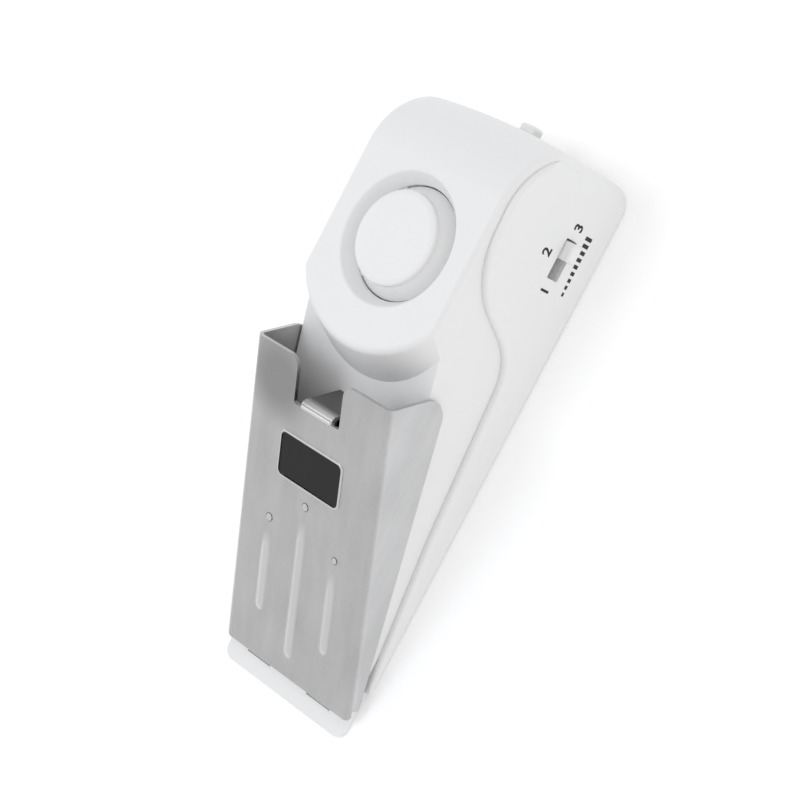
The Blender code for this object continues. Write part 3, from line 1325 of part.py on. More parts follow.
def rib(start, end, y, lift, margin):
    """Long pressed rib: full and round at its low end, fading out at its high end."""
    shape = bmesh.new()
    stations = []
    ball = RIB_HALF_WIDTH
    for step in range(4):
        angle = math.pi / 2 * step / 4
        stations.append((start + ball * (1 - math.cos(angle)), math.sin(angle)))
    stations.append((start + ball, 1.0))
    stations += [(end - RIB_FADE + RIB_FADE * run, size) for run, size in RIB_FADE_SHARES]
    rings = []
    for along, size in stations:
        size = max(size, RIB_LEAST_SHARE)
        ring = []
        for step in range(1, 6):
            angle = math.pi * step / 6
            ring.append(shape.verts.new((along, y - ball * size * math.cos(angle),
                                         lift + RIB_PROUD * size * math.sin(angle))))
        ring.append(shape.verts.new((along, y + ball * size, lift - margin)))
        ring.append(shape.verts.new((along, y - ball * size, lift - margin)))
        rings.append(ring)
    for one, two in zip(rings, rings[1:]):
        for index in range(len(one)):
            following = (index + 1) % len(one)
            shape.faces.new((one[index], one[following], two[following], two[index]))
    shape.faces.new(rings[0])
    shape.faces.new(list(reversed(rings[-1])))
    return from_bmesh("rib", shape)


def rib_runs():
    """Start, end and place across the plate of each rib."""
    return [
        (SIDE_RIB_START, SIDE_RIB_END, RIB_PITCH),
        (MID_RIB_START, MID_RIB_END, 0),
        (SIDE_RIB_START, SIDE_RIB_END, -RIB_PITCH),
    ]


def dimple(along, y):
    """Small raised stud at the high end of a rib."""
    arc = [(DIMPLE_RADIUS * math.cos(a), SHEET + DIMPLE_PROUD * math.sin(a))
           for a in (math.pi / 2 * step / 4 for step in range(5))]
    section = [(0, SHEET - WELD), (DIMPLE_RADIUS, SHEET - WELD), *arc[:-1],
               (0, SHEET + DIMPLE_PROUD)]
    return turned("dimple", section, (along, y), SMALL_STEPS)


def label_outline(margin):
    half = LABEL_WIDTH / 2 + margin
    reach = LABEL_LENGTH / 2 + margin
    return box_outline(LABEL_CENTRE - reach, LABEL_CENTRE + reach, -half, half,
                       LABEL_CORNER + margin)


def make_plate(steel, label_material):
    """Stainless pressure plate and the black label plate set in it."""
    plate = plate_shell()
    adds = [hook()]
    grooves = []
    for start, end, y in rib_runs():
        adds.append(rib(start, end, y, SHEET, WELD))
        adds.append(dimple(end + DIMPLE_LEAD, y))
        grooves.append(rib(start, end, y, 0, OVERRUN))
    for side in (-1, 1):
        y = side * KNUCKLE_CENTRE_Y
        adds.append(lying_rod("knuckle", KNUCKLE_RADIUS, "Y", (0, 0), y - KNUCKLE_WIDTH / 2,
                              y + KNUCKLE_WIDTH / 2))
    combine(plate, adds, "UNION", "MANIFOLD")
    pocket = prism("pocket", label_outline(GAP), "Z", SHEET - LABEL_SINK, SHEET + OVERRUN)
    combine(plate, [pocket, *grooves], "DIFFERENCE", "MANIFOLD")
    label = prism("label", label_outline(0), "Z", SHEET - LABEL_SINK + GAP,
                  SHEET - LABEL_SINK + GAP + LABEL_THICK)
    raised = rest_matrix()
    for thing, name, material in ((plate, "pressure_plate", steel),
                                  (label, "label_plate", label_material)):
        thing.data.transform(raised)
        dress(thing, name, material)
        set_origin(thing, (HINGE_X, 0, HINGE_Z))


def main():
    clear_scene()
    white = finish("white_abs", (0.86, 0.86, 0.85), 0.38)
    steel = finish("brushed_stainless", (0.60, 0.60, 0.61), 0.34, 1.0)
    black = finish("black_label", (0.03, 0.03, 0.035), 0.45)
    rubber = finish("black_rubber", (0.03, 0.03, 0.03), 0.85)
    board = finish("green_board", (0.04, 0.22, 0.09), 0.45)
    brass = finish("brass", (0.72, 0.55, 0.25), 0.30, 1.0)
    ceramic = finish("white_ceramic", (0.85, 0.84, 0.80), 0.50)
    plated = finish("plated_steel", (0.70, 0.70, 0.70), 0.28, 1.0)
    dark = finish("dark_plastic", (0.04, 0.04, 0.045), 0.50)
    beige = finish("beige_resistor", (0.70, 0.58, 0.40), 0.55)
    red = finish("red_wire", (0.60, 0.03, 0.03), 0.45)

    make_upper_housing(white)
    make_lower_housing(white)
    make_siren_cap(white)
    make_siren_chamber(dark)
    make_piezo(brass, ceramic)
    make_screws(plated)
    make_board(board)
    make_chip(dark)
    make_coil(brass)
    make_capacitors(dark)
    make_transistor(dark)
    make_resistors(beige)
    make_sensor(plated)
    make_trigger(dark)
    make_switches(plated, white)
    make_snap(dark, plated)
    make_leads(red, dark, white)
    make_cover(white)
    make_pads(rubber)
    make_spring(plated, make_plunger(dark))
    make_plate(steel, black)


main()
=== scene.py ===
"""Portable door-stop burglar alarm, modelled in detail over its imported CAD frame.

+X runs from the thin tip to the thick rear end, -Y is the side with the sensitivity switch,
and the alarm stands on the floor at z 0.
"""
import math

import bmesh
import bpy
from bpy.props import FloatProperty, FloatVectorProperty, IntProperty, PointerProperty
from bpy.types import Operator, Panel, PropertyGroup
from mathutils import Matrix, Vector


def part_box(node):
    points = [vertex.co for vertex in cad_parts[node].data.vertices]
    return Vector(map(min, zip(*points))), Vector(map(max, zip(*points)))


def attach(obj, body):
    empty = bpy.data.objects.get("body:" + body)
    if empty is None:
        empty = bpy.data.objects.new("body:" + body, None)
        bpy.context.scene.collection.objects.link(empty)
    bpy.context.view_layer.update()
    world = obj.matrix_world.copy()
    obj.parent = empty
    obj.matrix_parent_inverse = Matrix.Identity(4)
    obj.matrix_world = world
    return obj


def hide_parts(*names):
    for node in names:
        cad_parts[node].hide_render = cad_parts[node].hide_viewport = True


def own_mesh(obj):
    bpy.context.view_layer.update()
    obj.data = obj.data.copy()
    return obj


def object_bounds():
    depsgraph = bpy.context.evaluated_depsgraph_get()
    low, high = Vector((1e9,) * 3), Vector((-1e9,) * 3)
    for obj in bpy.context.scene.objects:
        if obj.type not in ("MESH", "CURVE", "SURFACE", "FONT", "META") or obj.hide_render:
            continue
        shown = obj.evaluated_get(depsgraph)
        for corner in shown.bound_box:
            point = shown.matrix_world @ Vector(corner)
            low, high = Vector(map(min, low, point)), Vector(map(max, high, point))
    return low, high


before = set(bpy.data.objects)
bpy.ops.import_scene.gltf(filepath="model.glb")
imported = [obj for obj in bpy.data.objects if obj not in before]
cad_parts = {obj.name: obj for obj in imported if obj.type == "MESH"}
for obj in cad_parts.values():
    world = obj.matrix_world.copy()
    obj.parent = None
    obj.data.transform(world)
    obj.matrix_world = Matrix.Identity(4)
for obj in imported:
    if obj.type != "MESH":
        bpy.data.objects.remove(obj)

bl_info = {
    "name": "Door-stop alarm",
    "version": (1, 0, 0),
    "blender": (4, 5, 0),
    "location": "View3D > Sidebar > Alarm",
    "description": "Models the pieces of a door-stop burglar alarm over its CAD frame",
    "category": "Object",
}

CAD_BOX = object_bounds()
CAP_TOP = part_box("siren_cap")[1][2]
LOWER_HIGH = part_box("lower_housing")[1]
PLUNGER_LOW, PLUNGER_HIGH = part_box("lift_plunger")

OVER = 0.001            # how far a cutter reaches past what it cuts
ROOT = 0.0004           # how deep a moulded feature roots in its wall
SAME = 0.000002         # points closer than this are one point
CAP_PROUD = 0.0012      # how far the siren's cap stands above the face round it
PRINT = 0.00003         # thickness of a layer of printed ink


# Colours and sizes that a user would change

def linear(text):
    """Turn an sRGB hex colour such as #C0C0C0 into linear red, green and blue."""
    levels = [int(text[index:index + 2], 16) / 255 for index in (1, 3, 5)]
    return tuple(v / 12.92 if v <= 0.04045 else ((v + 0.055) / 1.055) ** 2.4 for v in levels)


def length(default, name, description):
    return FloatProperty(name=name, description=description, default=default,
                         unit="LENGTH", subtype="DISTANCE", precision=5)


def angle(default, name, description):
    return FloatProperty(name=name, description=description, default=math.radians(default),
                         unit="ROTATION", subtype="ANGLE")


def colour(text, name, description):
    return FloatVectorProperty(name=name, description=description, default=linear(text),
                               size=3, min=0.0, max=1.0, subtype="COLOR")


class HousingSizes(PropertyGroup):
    """Sizes of the two moulded housings."""
    tip: length(CAD_BOX[0][0], "Tip", "Place of the thin end along the alarm")
    rear: length(LOWER_HIGH[0], "Rear", "Place of the rear face along the alarm")
    half: length(LOWER_HIGH[1], "Half width", "Middle plane to the face of a side panel")
    height: length(CAP_TOP - CAP_PROUD, "Siren face", "Height of the flat face round the siren")
    floor: length(0.0020, "Floor", "Thickness of the base")
    lift: length(0.0004, "Lift", "Plastic stands this far off the floor, on its pads")
    panel_wall: length(0.0013, "Panel wall", "Thickness of the proud side panels")
    wall: length(0.0018, "Wall", "Thickness of the upper housing")
    gap: length(0.0003, "Gap", "Clearance between two pieces that fit together")
    seam: length(0.00005, "Seam", "Joint line that shows between the two housings")
    rim: length(0.0190, "Rim", "Height where the upper housing closes over the rear skin")
    edge: length(0.0012, "Long edge", "Round on the upper housing's long edges")
    panel_edge: length(0.0009, "Panel edge", "Round on the proud panel's edge")
    crown: length(0.0170, "Crown", "Round of the rear end, seen from the side")
    corner: length(0.0056, "Rear corner", "Round of the rear corners, seen from above")
    bow: length(0.0012, "Rear bow", "How far the rear end falls back at its two sides")
    tip_corner: length(0.0030, "Tip corner", "Round of the tip's corners, seen from above")
    deck_angle: angle(20.5, "Deck angle", "Slope of the deck under the plate")
    siren_x: length(0.0364, "Siren axis", "Place of the siren's axis along the alarm")
    bulge_radius: length(0.0254, "Bulge radius", "Radius of the siren's drum at its face")
    bulge_slope: angle(24.13, "Bulge flare", "How far the drum flares towards its foot")
    bulge_round: length(0.0022, "Bulge edge", "Round between the drum's face and its front")


class SirenSizes(PropertyGroup):
    """Sizes of the siren's recess and cap."""
    mouth: length(0.0154, "Recess mouth", "Radius of the recess at the face")
    seat: length(0.0131, "Recess floor", "Radius of the recess at its floor")
    depth: length(0.0040, "Recess depth", "Depth of the recess")
    lip: length(0.0007, "Recess lip", "Round at the mouth of the recess")
    cap: length(0.0109, "Cap radius", "Radius of the round cap")
    proud: length(CAP_PROUD, "Cap proud", "How far the cap stands above the face")
    cap_edge: length(0.0012, "Cap edge", "Width of the sloping edge round the cap's face")
    collar: length(0.0037, "Collar", "Height of the flared collar round the cap")
    slot_out: length(0.01335, "Slot radius", "Outer radius of the crescent sound slots")
    slot_wide: length(0.00032, "Slot width", "Width of the crescent sound slots")
    slot_span: angle(35, "Slot half span", "Half the angle that a crescent slot spans")


class PlateSizes(PropertyGroup):
    """Sizes of the folded pressure plate."""
    run: length(0.0778, "Length", "Hinge axis to the plate's high end, along the plate")
    half: length(0.0224, "Half width", "Middle to the face of a flange")
    sheet: length(0.0009, "Sheet", "Thickness of the steel")
    fold: length(0.0019, "Fold", "Outer radius of the two long folds")
    flange_rear: length(0.0163, "Flange, high end", "Depth of the flange at the high end")
    flange_front: length(0.0019, "Flange, low end", "Depth of the flange at the low end")
    notch_half: length(0.0076, "Notch half width", "Half the width of the notch")
    notch_depth: length(0.0109, "Notch depth", "Depth of the notch in the high end")
    notch_round: length(0.0028, "Notch round", "Round of the notch's mouth")
    rib_half: length(0.0019, "Rib half width", "Half the width of a pressed rib at its foot")
    rib_proud: length(0.00050, "Rib height", "How far a rib stands above the sheet")
    rest: angle(28.74, "Raised angle", "Slope of the plate when it is up")
    label_length: length(0.0102, "Label length", "Length of the label along the plate")
    label_width: length(0.0198, "Label width", "Width of the label across the plate")
    label_centre: length(0.0538, "Label centre", "Hinge axis to the label's middle")


class SwitchSizes(PropertyGroup):
    """Sizes of the two slide switches and of the marks beside them."""
    slot_length: length(0.0100, "Slot length", "Length of a slot")
    slot_height: length(0.0040, "Slot height", "Height of a slot")
    knob_length: length(0.0043, "Knob length", "Length of a knob along its slot")
    knob_height: length(0.0034, "Knob height", "Height of a knob across its slot")
    knob_proud: length(0.0026, "Knob proud", "How far a knob stands out of the wall")
    knob_round: length(0.0009, "Knob round", "Round of a knob's outer edges")
    step: length(0.0020, "Step", "Travel between two positions of a switch")
    side_x: length(0.0488, "Side slot", "Place of the side slot along the alarm")
    slot_z: length(0.0125, "Slot centre", "Height of both slots")
    digit: length(0.0029, "Digit height", "Height of a printed digit")
    bars: IntProperty(name="Scale bars", description="Bars in the rising scale", default=9, min=3)


class Finishes(PropertyGroup):
    """Colours of the visible finishes."""
    plastic: colour("#EDEDED", "Plastic", "White of the moulded housings")
    steel: colour("#C7C7C7", "Steel", "Brushed stainless steel")
    film: colour("#161618", "Label", "Black of the label film")
    ink: colour("#18181A", "Ink", "Ink of the marks beside the switch")
    rubber: colour("#232325", "Rubber", "Pads under the base")
    floor: colour("#FAFAFA", "Floor", "Pale floor of the stage")


class StageSettings(PropertyGroup):
    """Light and camera."""
    focal: FloatProperty(name="Focal length", description="Focal length on a 36 mm sensor",
                         default=99.51, min=10.0)
    key: FloatProperty(name="Key light", description="Power of the key light", default=2.2,
                       unit="POWER")
    side: FloatProperty(name="Side lights", description="Power of the light at each side", default=0.7,
                        unit="POWER")
    sky: FloatProperty(name="Surround", description="Strength of the white surround", default=0.785)


# Outlines

def arc(centre, radius, start, end, steps):
    """Points along an arc, both ends included."""
    points = []
    for step in range(steps + 1):
        turn = start + (end - start) * step / steps
        points.append((centre[0] + radius * math.cos(turn), centre[1] + radius * math.sin(turn)))
    return points


def ring(centre, radius, steps):
    """A closed ring of points that starts half a step round."""
    start = math.pi / steps
    return arc(centre, radius, start, start + math.tau, steps)[:-1]


def rounded(corners, steps=8):
    """An outline from (u, v, radius) corners, or (u, v, radius, steps), each turned as an arc."""
    points = []
    for index, corner in enumerate(corners):
        u, v, radius = corner[:3]
        count = corner[3] if len(corner) > 3 else steps
        here = Vector((u, v))
        if radius <= 0:
            points.append((u, v))
            continue
        before = (Vector(corners[index - 1][:2]) - here).normalized()
        after = (Vector(corners[(index + 1) % len(corners)][:2]) - here).normalized()
        half = before.angle(after) / 2
        centre = here + (before + after).normalized() * (radius / math.sin(half))
        first = here + before * (radius / math.tan(half)) - centre
        sweep = first.angle_signed(here + after * (radius / math.tan(half)) - centre)
        for step in range(count + 1):
            turned = Matrix.Rotation(-sweep * step / count, 2) @ first
            points.append((centre.x + turned.x, centre.y + turned.y))
    return points


def box_outline(u0, u1, v0, v1, radius=0.0, steps=8):
    """A rectangle with four like corners."""
    return rounded([(u0, v0, radius), (u1, v0, radius), (u1, v1, radius), (u0, v1, radius)], steps)


def plan_outline(half, front, rear, front_corner, rear_corner):
    """An outline seen from above, with its own front and rear corners."""
    return rounded([(front, -half, front_corner), (rear, -half, rear_corner),
                    (rear, half, rear_corner), (front, half, front_corner)], 12)


# Modelling by hand: primitives, edit mode and applied modifiers

AXES = {
    "X": lambda u, v, w: Vector((w, u, v)),
    "Y": lambda u, v, w: Vector((u, w, v)),
    "Z": lambda u, v, w: Vector((u, v, w)),
}


def only(thing):
    """Select one object alone and make it the active one."""
    bpy.ops.object.select_all(action="DESELECT")
    thing.select_set(True)
    bpy.context.view_layer.objects.active = thing
    return thing


def edit(thing, kind="FACE", action="SELECT"):
    """Open one object in edit mode, with all of it selected or nothing."""
    only(thing)
    bpy.context.tool_settings.mesh_select_mode = [kind == name for name in ("VERT", "EDGE", "FACE")]
    bpy.ops.object.mode_set(mode="EDIT")
    bpy.ops.mesh.select_all(action=action)


def pick(thing, kind, test):
    """Open one object in edit mode, with the points, edges or faces that a test picks selected."""
    edit(thing, kind, "DESELECT")
    shape = bmesh.from_edit_mesh(thing.data)
    items = {"VERT": shape.verts, "EDGE": shape.edges, "FACE": shape.faces}[kind]
    chosen = [item for item in items if test(item)]
    if not chosen:
        raise RuntimeError(f"{thing.name}: the test picked no {kind.lower()}")
    for item in chosen:
        item.select_set(True)
    bmesh.update_edit_mesh(thing.data)


def leave():
    bpy.ops.object.mode_set(mode="OBJECT")


def face_out(thing):
    """Merge doubled points, drop loose ones and turn every face outwards."""
    edit(thing)
    bpy.ops.mesh.remove_doubles(threshold=SAME)
    bpy.ops.mesh.delete_loose(use_verts=True, use_edges=True, use_faces=False)
    bpy.ops.mesh.select_all(action="SELECT")
    bpy.ops.mesh.normals_make_consistent(inside=False)
    leave()
    return thing


def rename(thing, name):
    thing.name = name
    thing.data.name = name


def add_primitive(operator, **settings):
    """Add a primitive with everything else deselected."""
    bpy.ops.object.select_all(action="DESELECT")
    operator(**settings)
    return bpy.context.active_object


def apply_modifier(thing, kind, **settings):
    """Add a modifier with its settings, and apply it."""
    modifier = thing.modifiers.new(kind.capitalize(), kind)
    for name, value in settings.items():
        setattr(modifier, name, value)
    only(thing)
    bpy.ops.object.modifier_apply(modifier=modifier.name)
    return thing


def blank(name, outline, axis, low, fill="NGON"):
    """Add a circle with as many points as an outline and set them along it."""
    thing = add_primitive(bpy.ops.mesh.primitive_circle_add, vertices=len(outline), radius=1.0,
                          fill_type=fill)
    rename(thing, name)
    for point, (u, v) in zip(thing.data.vertices, outline):
        point.co = AXES[axis](u, v, low)
    return thing


def prism(name, outline, axis, low, high):
    """Extrude an outline: (y, z) along X, (x, z) along Y or (x, y) along Z."""
    thing = blank(name, outline, axis, low)
    edit(thing)
    step = AXES[axis](0, 0, high - low)
    bpy.ops.mesh.extrude_region_move(TRANSFORM_OT_translate={"value": step})
    leave()
    return face_out(thing)


def block(name, x0, x1, y0, y1, z0, z1, radius=0.0):
    return prism(name, box_outline(x0, x1, y0, y1, radius), "Z", z0, z1)


def rod(name, radius, centre, low, high, axis="Z", steps=48):
    return prism(name, ring(centre, radius, steps), axis, low, high)


def lathe(name, section, centre, steps=96):
    """Spin a closed (radius, height) outline about an upright axis."""
    outline = [(centre[0] + radius, height) for radius, height in section]
    thing = blank(name, outline, "Y", centre[1], "NOTHING")
    edit(thing)
    bpy.ops.mesh.spin(steps=steps, angle=math.tau, use_auto_merge=True,
                      center=(centre[0], centre[1], 0), axis=(0, 0, 1))
    leave()
    return face_out(thing)


def is_closed(thing):
    """True if every edge of the mesh has two faces and there is a mesh at all."""
    shape = bmesh.new()
    shape.from_mesh(thing.data)
    closed = len(shape.faces) > 0 and all(len(edge.link_faces) == 2 for edge in shape.edges)
    shape.free()
    return closed


def combine(thing, operation, tools):
    """Apply a Boolean with each tool in turn, keep the result closed, and drop the tools."""
    for tool in tools:
        before = thing.data.copy()
        for solver in ("MANIFOLD", "EXACT"):
            apply_modifier(thing, "BOOLEAN", operation=operation, solver=solver, object=tool)
            edit(thing)
            bpy.ops.mesh.remove_doubles(threshold=SAME)
            bpy.ops.mesh.dissolve_degenerate(threshold=SAME)
            leave()
            if is_closed(thing):
                break
            thing.data = before.copy()
        else:
            raise RuntimeError(f"{thing.name}: {operation} with {tool.name} left it open")
        bpy.data.objects.remove(tool, do_unlink=True)
    return thing


def cut(thing, *tools):
    return combine(thing, "DIFFERENCE", tools)


def fuse(thing, *tools):
    return combine(thing, "UNION", tools)


def trim(thing, *tools):
    return combine(thing, "INTERSECT", tools)


def round_edges(thing, test, width, segments=5):
    """Bevel the edges that a test picks by the places of their two ends."""
    pick(thing, "EDGE", lambda edge: test(edge.verts[0].co, edge.verts[1].co))
    bpy.ops.mesh.bevel(offset=width, segments=segments, profile=0.5, affect="EDGES",
                       clamp_overlap=False)
    leave()
    return thing


def on_side(a, b, half):
    """True if an edge lies on one of the two upright planes at half the width."""
    return abs(abs(a.y) - half) < SAME and abs(a.y - b.y) < SAME


def soften(thing, width, segments=2):
    """Break every edge sharper than 50 degrees with a small bevel."""
    return apply_modifier(thing, "BEVEL", width=width, segments=segments, limit_method="ANGLE",
                          angle_limit=math.radians(50), harden_normals=False)


def smooth(thing, limit=32):
    """Shade round faces smooth, and keep flat ones flat beside them."""
    only(thing)
    bpy.ops.object.shade_smooth_by_angle(angle=math.radians(limit))
    return apply_modifier(thing, "WEIGHTED_NORMAL", keep_sharp=True)


def slice_across(thing, places):
    """Cut new edges across a mesh at places along Y."""
    edit(thing)
    for y in places:
        bpy.ops.mesh.select_all(action="SELECT")
        bpy.ops.mesh.bisect(plane_co=(0, y, 0), plane_no=(0, 1, 0))
    leave()


def ease(share):
    """A share held between 0 and 1, with a soft start and end."""
    share = min(max(share, 0.0), 1.0)
    return share * share * (3 - 2 * share)


def bow_rear(thing, h, reach=0.0250, strips=8):
    """Draw the rear end's sides in a little, so that the rear face is gently bowed."""
    slice_across(thing, [h.half * step / strips for step in range(1 - strips, strips)])
    for point in thing.data.vertices:
        share = ease((point.co.x - h.rear + reach) / reach)
        point.co.x -= h.bow * share * (point.co.y / h.half) ** 2
    return face_out(thing)


def settle(thing, name, body, material, nodes=()):
    """Name a finished piece, give it its material and body, and stand it in for its nodes."""
    rename(thing, name)
    thing.data.materials.clear()
    thing.data.materials.append(material)
    smooth(thing)
    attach(thing, body)
    if nodes:
        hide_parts(*nodes)
    return thing


def twin(thing, name):
    """A copy of a finished shape with its own mesh."""
    only(thing)
    bpy.ops.object.duplicate(linked=False)
    copy = bpy.context.active_object
    rename(copy, name)
    return copy


def bake_place(thing, matrix):
    """Turn and move a piece, then put its place into its mesh."""
    thing.matrix_world = matrix
    only(thing)
    bpy.ops.object.transform_apply(location=True, rotation=True, scale=True)
    return thing


def from_node(node, name):
    """A merged copy of a CAD node's mesh, as a start for a finer piece."""
    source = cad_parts[node]
    mesh = source.data.copy()
    mesh.transform(source.matrix_world)
    thing = bpy.data.objects.new(name, mesh)
    bpy.context.scene.collection.objects.link(thing)
    face_out(thing)
    edit(thing)
    bpy.ops.mesh.dissolve_limited(angle_limit=math.radians(0.5))
    leave()
    return thing


# Materials

def shade(rgb, share):
    """A colour made darker or lighter by a share."""
    return tuple(min(max(value * share, 0.0), 1.0) for value in rgb)


def fill(node, inputs):
    """Set a node's sockets to values, or link them to other nodes' outputs."""
    for key, value in inputs.items():
        if isinstance(value, bpy.types.NodeSocket):
            node.id_data.links.new(value, node.inputs[key])
        else:
            node.inputs[key].default_value = value


def add_node(material, kind, inputs, output=0, **settings):
    """Add a node with its settings and links, and return one of its outputs."""
    node = material.node_tree.nodes.new(kind)
    for name, value in settings.items():
        setattr(node, name, value)
    fill(node, inputs)
    return node.outputs[output]


def new_material(name, inputs):
    """A material whose shader has its plain values; its place output is in metres."""
    material = bpy.data.materials.new(name)
    material.use_nodes = True
    shader = material.node_tree.nodes["Principled BSDF"]
    fill(shader, inputs)
    return material, shader, add_node(material, "ShaderNodeTexCoord", {}, "Object")


def follow(material, shader, mask, tones, rough, height, depth, strength):
    """Let a mask set a surface's colour and gloss, and a height set its relief.

    Tones and rough hold the two ends of the colour and of the roughness, depth is in metres.
    """
    dark, light = tones
    tone = add_node(material, "ShaderNodeMix", {0: mask, 6: (*dark, 1.0), 7: (*light, 1.0)}, 2,
                    data_type="RGBA")
    gloss = add_node(material, "ShaderNodeMapRange", {"Value": mask, "To Min": rough[0],
                                                      "To Max": rough[1]})
    relief = add_node(material, "ShaderNodeBump", {"Height": height, "Distance": depth,
                                                   "Strength": strength})
    fill(shader, {"Base Color": tone, "Roughness": gloss, "Normal": relief})
    return material


def drifting(name, dark, light, rough, cloud, grain, depth, inputs):
    """A surface whose colour and gloss drift over clouds, under a fine relief.

    Cloud and grain are how wide the two patterns are drawn, and depth is that of the relief,
    all in metres. Rough holds the two ends of the roughness.
    """
    material, shader, place = new_material(name, inputs)
    drift = add_node(material, "ShaderNodeTexNoise", {"Vector": place, "Scale": 1 / cloud,
                                                      "Detail": 3.0})
    grit = add_node(material, "ShaderNodeTexNoise", {"Vector": place, "Scale": 1 / grain,
                                                     "Detail": 2.0, "Roughness": 0.6})
    return follow(material, shader, drift, (dark, light), rough, grit, depth, 0.6)


def satin_abs():
    """White ABS, injection-moulded in a tool with a fine spark-eroded grit.

    The eye gets an even satin white, with a faint drift of gloss where the melt cooled slower.
    The grit is drawn 0.45 mm wide, some three times its real size, so that it shows.
    """
    rgb = bpy.context.scene.alarm_finishes.plastic
    return drifting("satin_abs_moulded", shade(rgb, 0.975), shade(rgb, 1.01), (0.40, 0.50),
                    0.018, 0.00045, 0.000012, {"IOR": 1.53})


def glossy_abs():
    """White ABS moulded in a polished tool: a little brighter and glossier than the housing."""
    rgb = bpy.context.scene.alarm_finishes.plastic
    return drifting("glossy_abs_moulded", shade(rgb, 0.985), shade(rgb, 1.02), (0.36, 0.44),
                    0.018, 0.0009, 0.000006, {"IOR": 1.53})


def brushed_stainless():
    """Stainless sheet, brushed along the coil, then blanked, pressed and folded.

    Fine scratches run along the plate and spread the reflections to a soft grey with slow
    bands. They are drawn 0.3 mm wide so that they show; the real ones are nearer 0.05 mm. The
    tongue left of the notch gets a painted reflection, a darker tint, as if it mirrored a
    darker part of the room. All that stands proud gets a painted highlight, a brighter tint,
    and the hook's shank gets painted shade, a dark tint.
    """
    steel = bpy.context.scene.alarm_finishes.steel
    sizes = bpy.context.scene.alarm_plate
    material, shader, place = new_material("brushed_stainless_sheet", {"Metallic": 1.0,
                                                                       "Anisotropic": 0.3})
    along = add_node(material, "ShaderNodeMapping", {"Vector": place, "Scale": (0.06, 1.0, 0.5),
                                                     "Rotation": (0.0, sizes.rest, 0.0)})
    # Where each pattern lies, how wide it is drawn, and its detail and roughness
    patterns = ((along, 0.0003, 4.0, 0.7), (along, 0.0045, 2.0, 0.5), (place, 0.016, 1.0, 0.5),
                (place, 0.00035, 2.0, 0.7))
    scratch, band, stain, grain = (
        add_node(material, "ShaderNodeTexNoise", {"Vector": vector, "Scale": 1 / size,
                                                  "Detail": detail, "Roughness": rough})
        for vector, size, detail, rough in patterns)
    mixed = scratch
    for layer in (band, stain):
        mixed = add_node(material, "ShaderNodeMath", {0: mixed, 1: layer}, operation="ADD")
    share = add_node(material, "ShaderNodeMapRange", {"Value": mixed, "From Min": 1.0,
                                                      "From Max": 2.0})
    # Painted reflection: a darker tint that fades out from the plate's corner left of the notch
    tongue = add_node(material, "ShaderNodeMapping", {
        "Vector": place, "Location": [-value / PAINTED_REFLECTION_REACH for value in TONGUE],
        "Scale": [1 / PAINTED_REFLECTION_REACH] * 3})
    painted_reflection = add_node(material, "ShaderNodeTexGradient", {"Vector": tongue}, 1,
                     gradient_type="SPHERICAL")
    painted_reflection = add_node(material, "ShaderNodeMapRange", {"Value": painted_reflection, "From Max": 0.7},
                     interpolation_type="SMOOTHSTEP")
    square = Vector((-math.sin(sizes.rest), 0.0, math.cos(sizes.rest)))
    above = add_node(material, "ShaderNodeVectorMath", {0: place, 1: square}, "Value",
                     operation="DOT_PRODUCT")
    face = Place(bpy.context.scene).hinge.dot(square) + sizes.sheet
    # Painted highlight: a brighter tint on all that stands proud of the sheet; deep picks what lies
    # well under it
    painted_highlight, deep = (
        add_node(material, "ShaderNodeMapRange", {"Value": above, "From Min": face + start,
                                                  "From Max": face + end})
        for start, end in ((0.00004, 0.00030), (-0.0013, -0.0028)))
    # Painted shade: a dark tint on the hook's shank, deep under the sheet and within the hook's width
    across = add_node(material, "ShaderNodeSeparateXYZ", {"Vector": place}, "Y")
    middle = add_node(material, "ShaderNodeMath", {0: across, 1: 0.0, 2: HOOK_HALF + 0.0009},
                      operation="COMPARE")
    shank = add_node(material, "ShaderNodeMath", {0: deep, 1: middle}, operation="MULTIPLY")
    # Random bands lighten the grey; the painted reflection darkens the tongue, the painted highlight
    # brightens all that stands proud and the painted shade darkens the hook's shank
    tone = (*shade(steel, 0.88), 1.0)
    for mask, part in ((share, 1.10), (painted_reflection, 0.62), (painted_highlight, 1.25), (shank, 0.30)):
        tone = add_node(material, "ShaderNodeMix", {0: mask, 6: tone,
                                                    7: (*shade(steel, part), 1.0)}, 2,
                        data_type="RGBA")
    gloss = add_node(material, "ShaderNodeMapRange", {"Value": scratch, "To Min": 0.28,
                                                      "To Max": 0.42})
    height = add_node(material, "ShaderNodeMath", {0: scratch, 1: grain}, operation="ADD")
    relief = add_node(material, "ShaderNodeBump", {"Height": height, "Distance": 0.000010,
                                                   "Strength": 0.5})
    fill(shader, {"Base Color": tone, "Roughness": gloss, "Normal": relief})
    return material


def label_film():
    """Black polyester label, screen printed: satin, with a hint of orange peel."""
    rgb = bpy.context.scene.alarm_finishes.film
    return drifting("screen_printed_film", shade(rgb, 0.8), shade(rgb, 1.2), (0.46, 0.60),
                    0.003, 0.0006, 0.000006, {"IOR": 1.50, "Specular IOR Level": 0.33})


def pad_ink():
    """Black pad-printed ink: matt, and thinner in places so that it is not quite black there."""
    rgb = bpy.context.scene.alarm_finishes.ink
    return drifting("pad_printed_ink", shade(rgb, 0.8), shade(rgb, 1.8), (0.50, 0.65),
                    0.0004, 0.0003, 0.000004, {"IOR": 1.50})


def moulded_rubber():
    """Black rubber pads, pressed in a matt mould: a soft grit and a dull grey bloom."""
    rgb = bpy.context.scene.alarm_finishes.rubber
    return drifting("pressed_black_rubber", rgb, shade(rgb, 1.8), (0.75, 0.92),
                    0.006, 0.0003, 0.00003, {"IOR": 1.52})


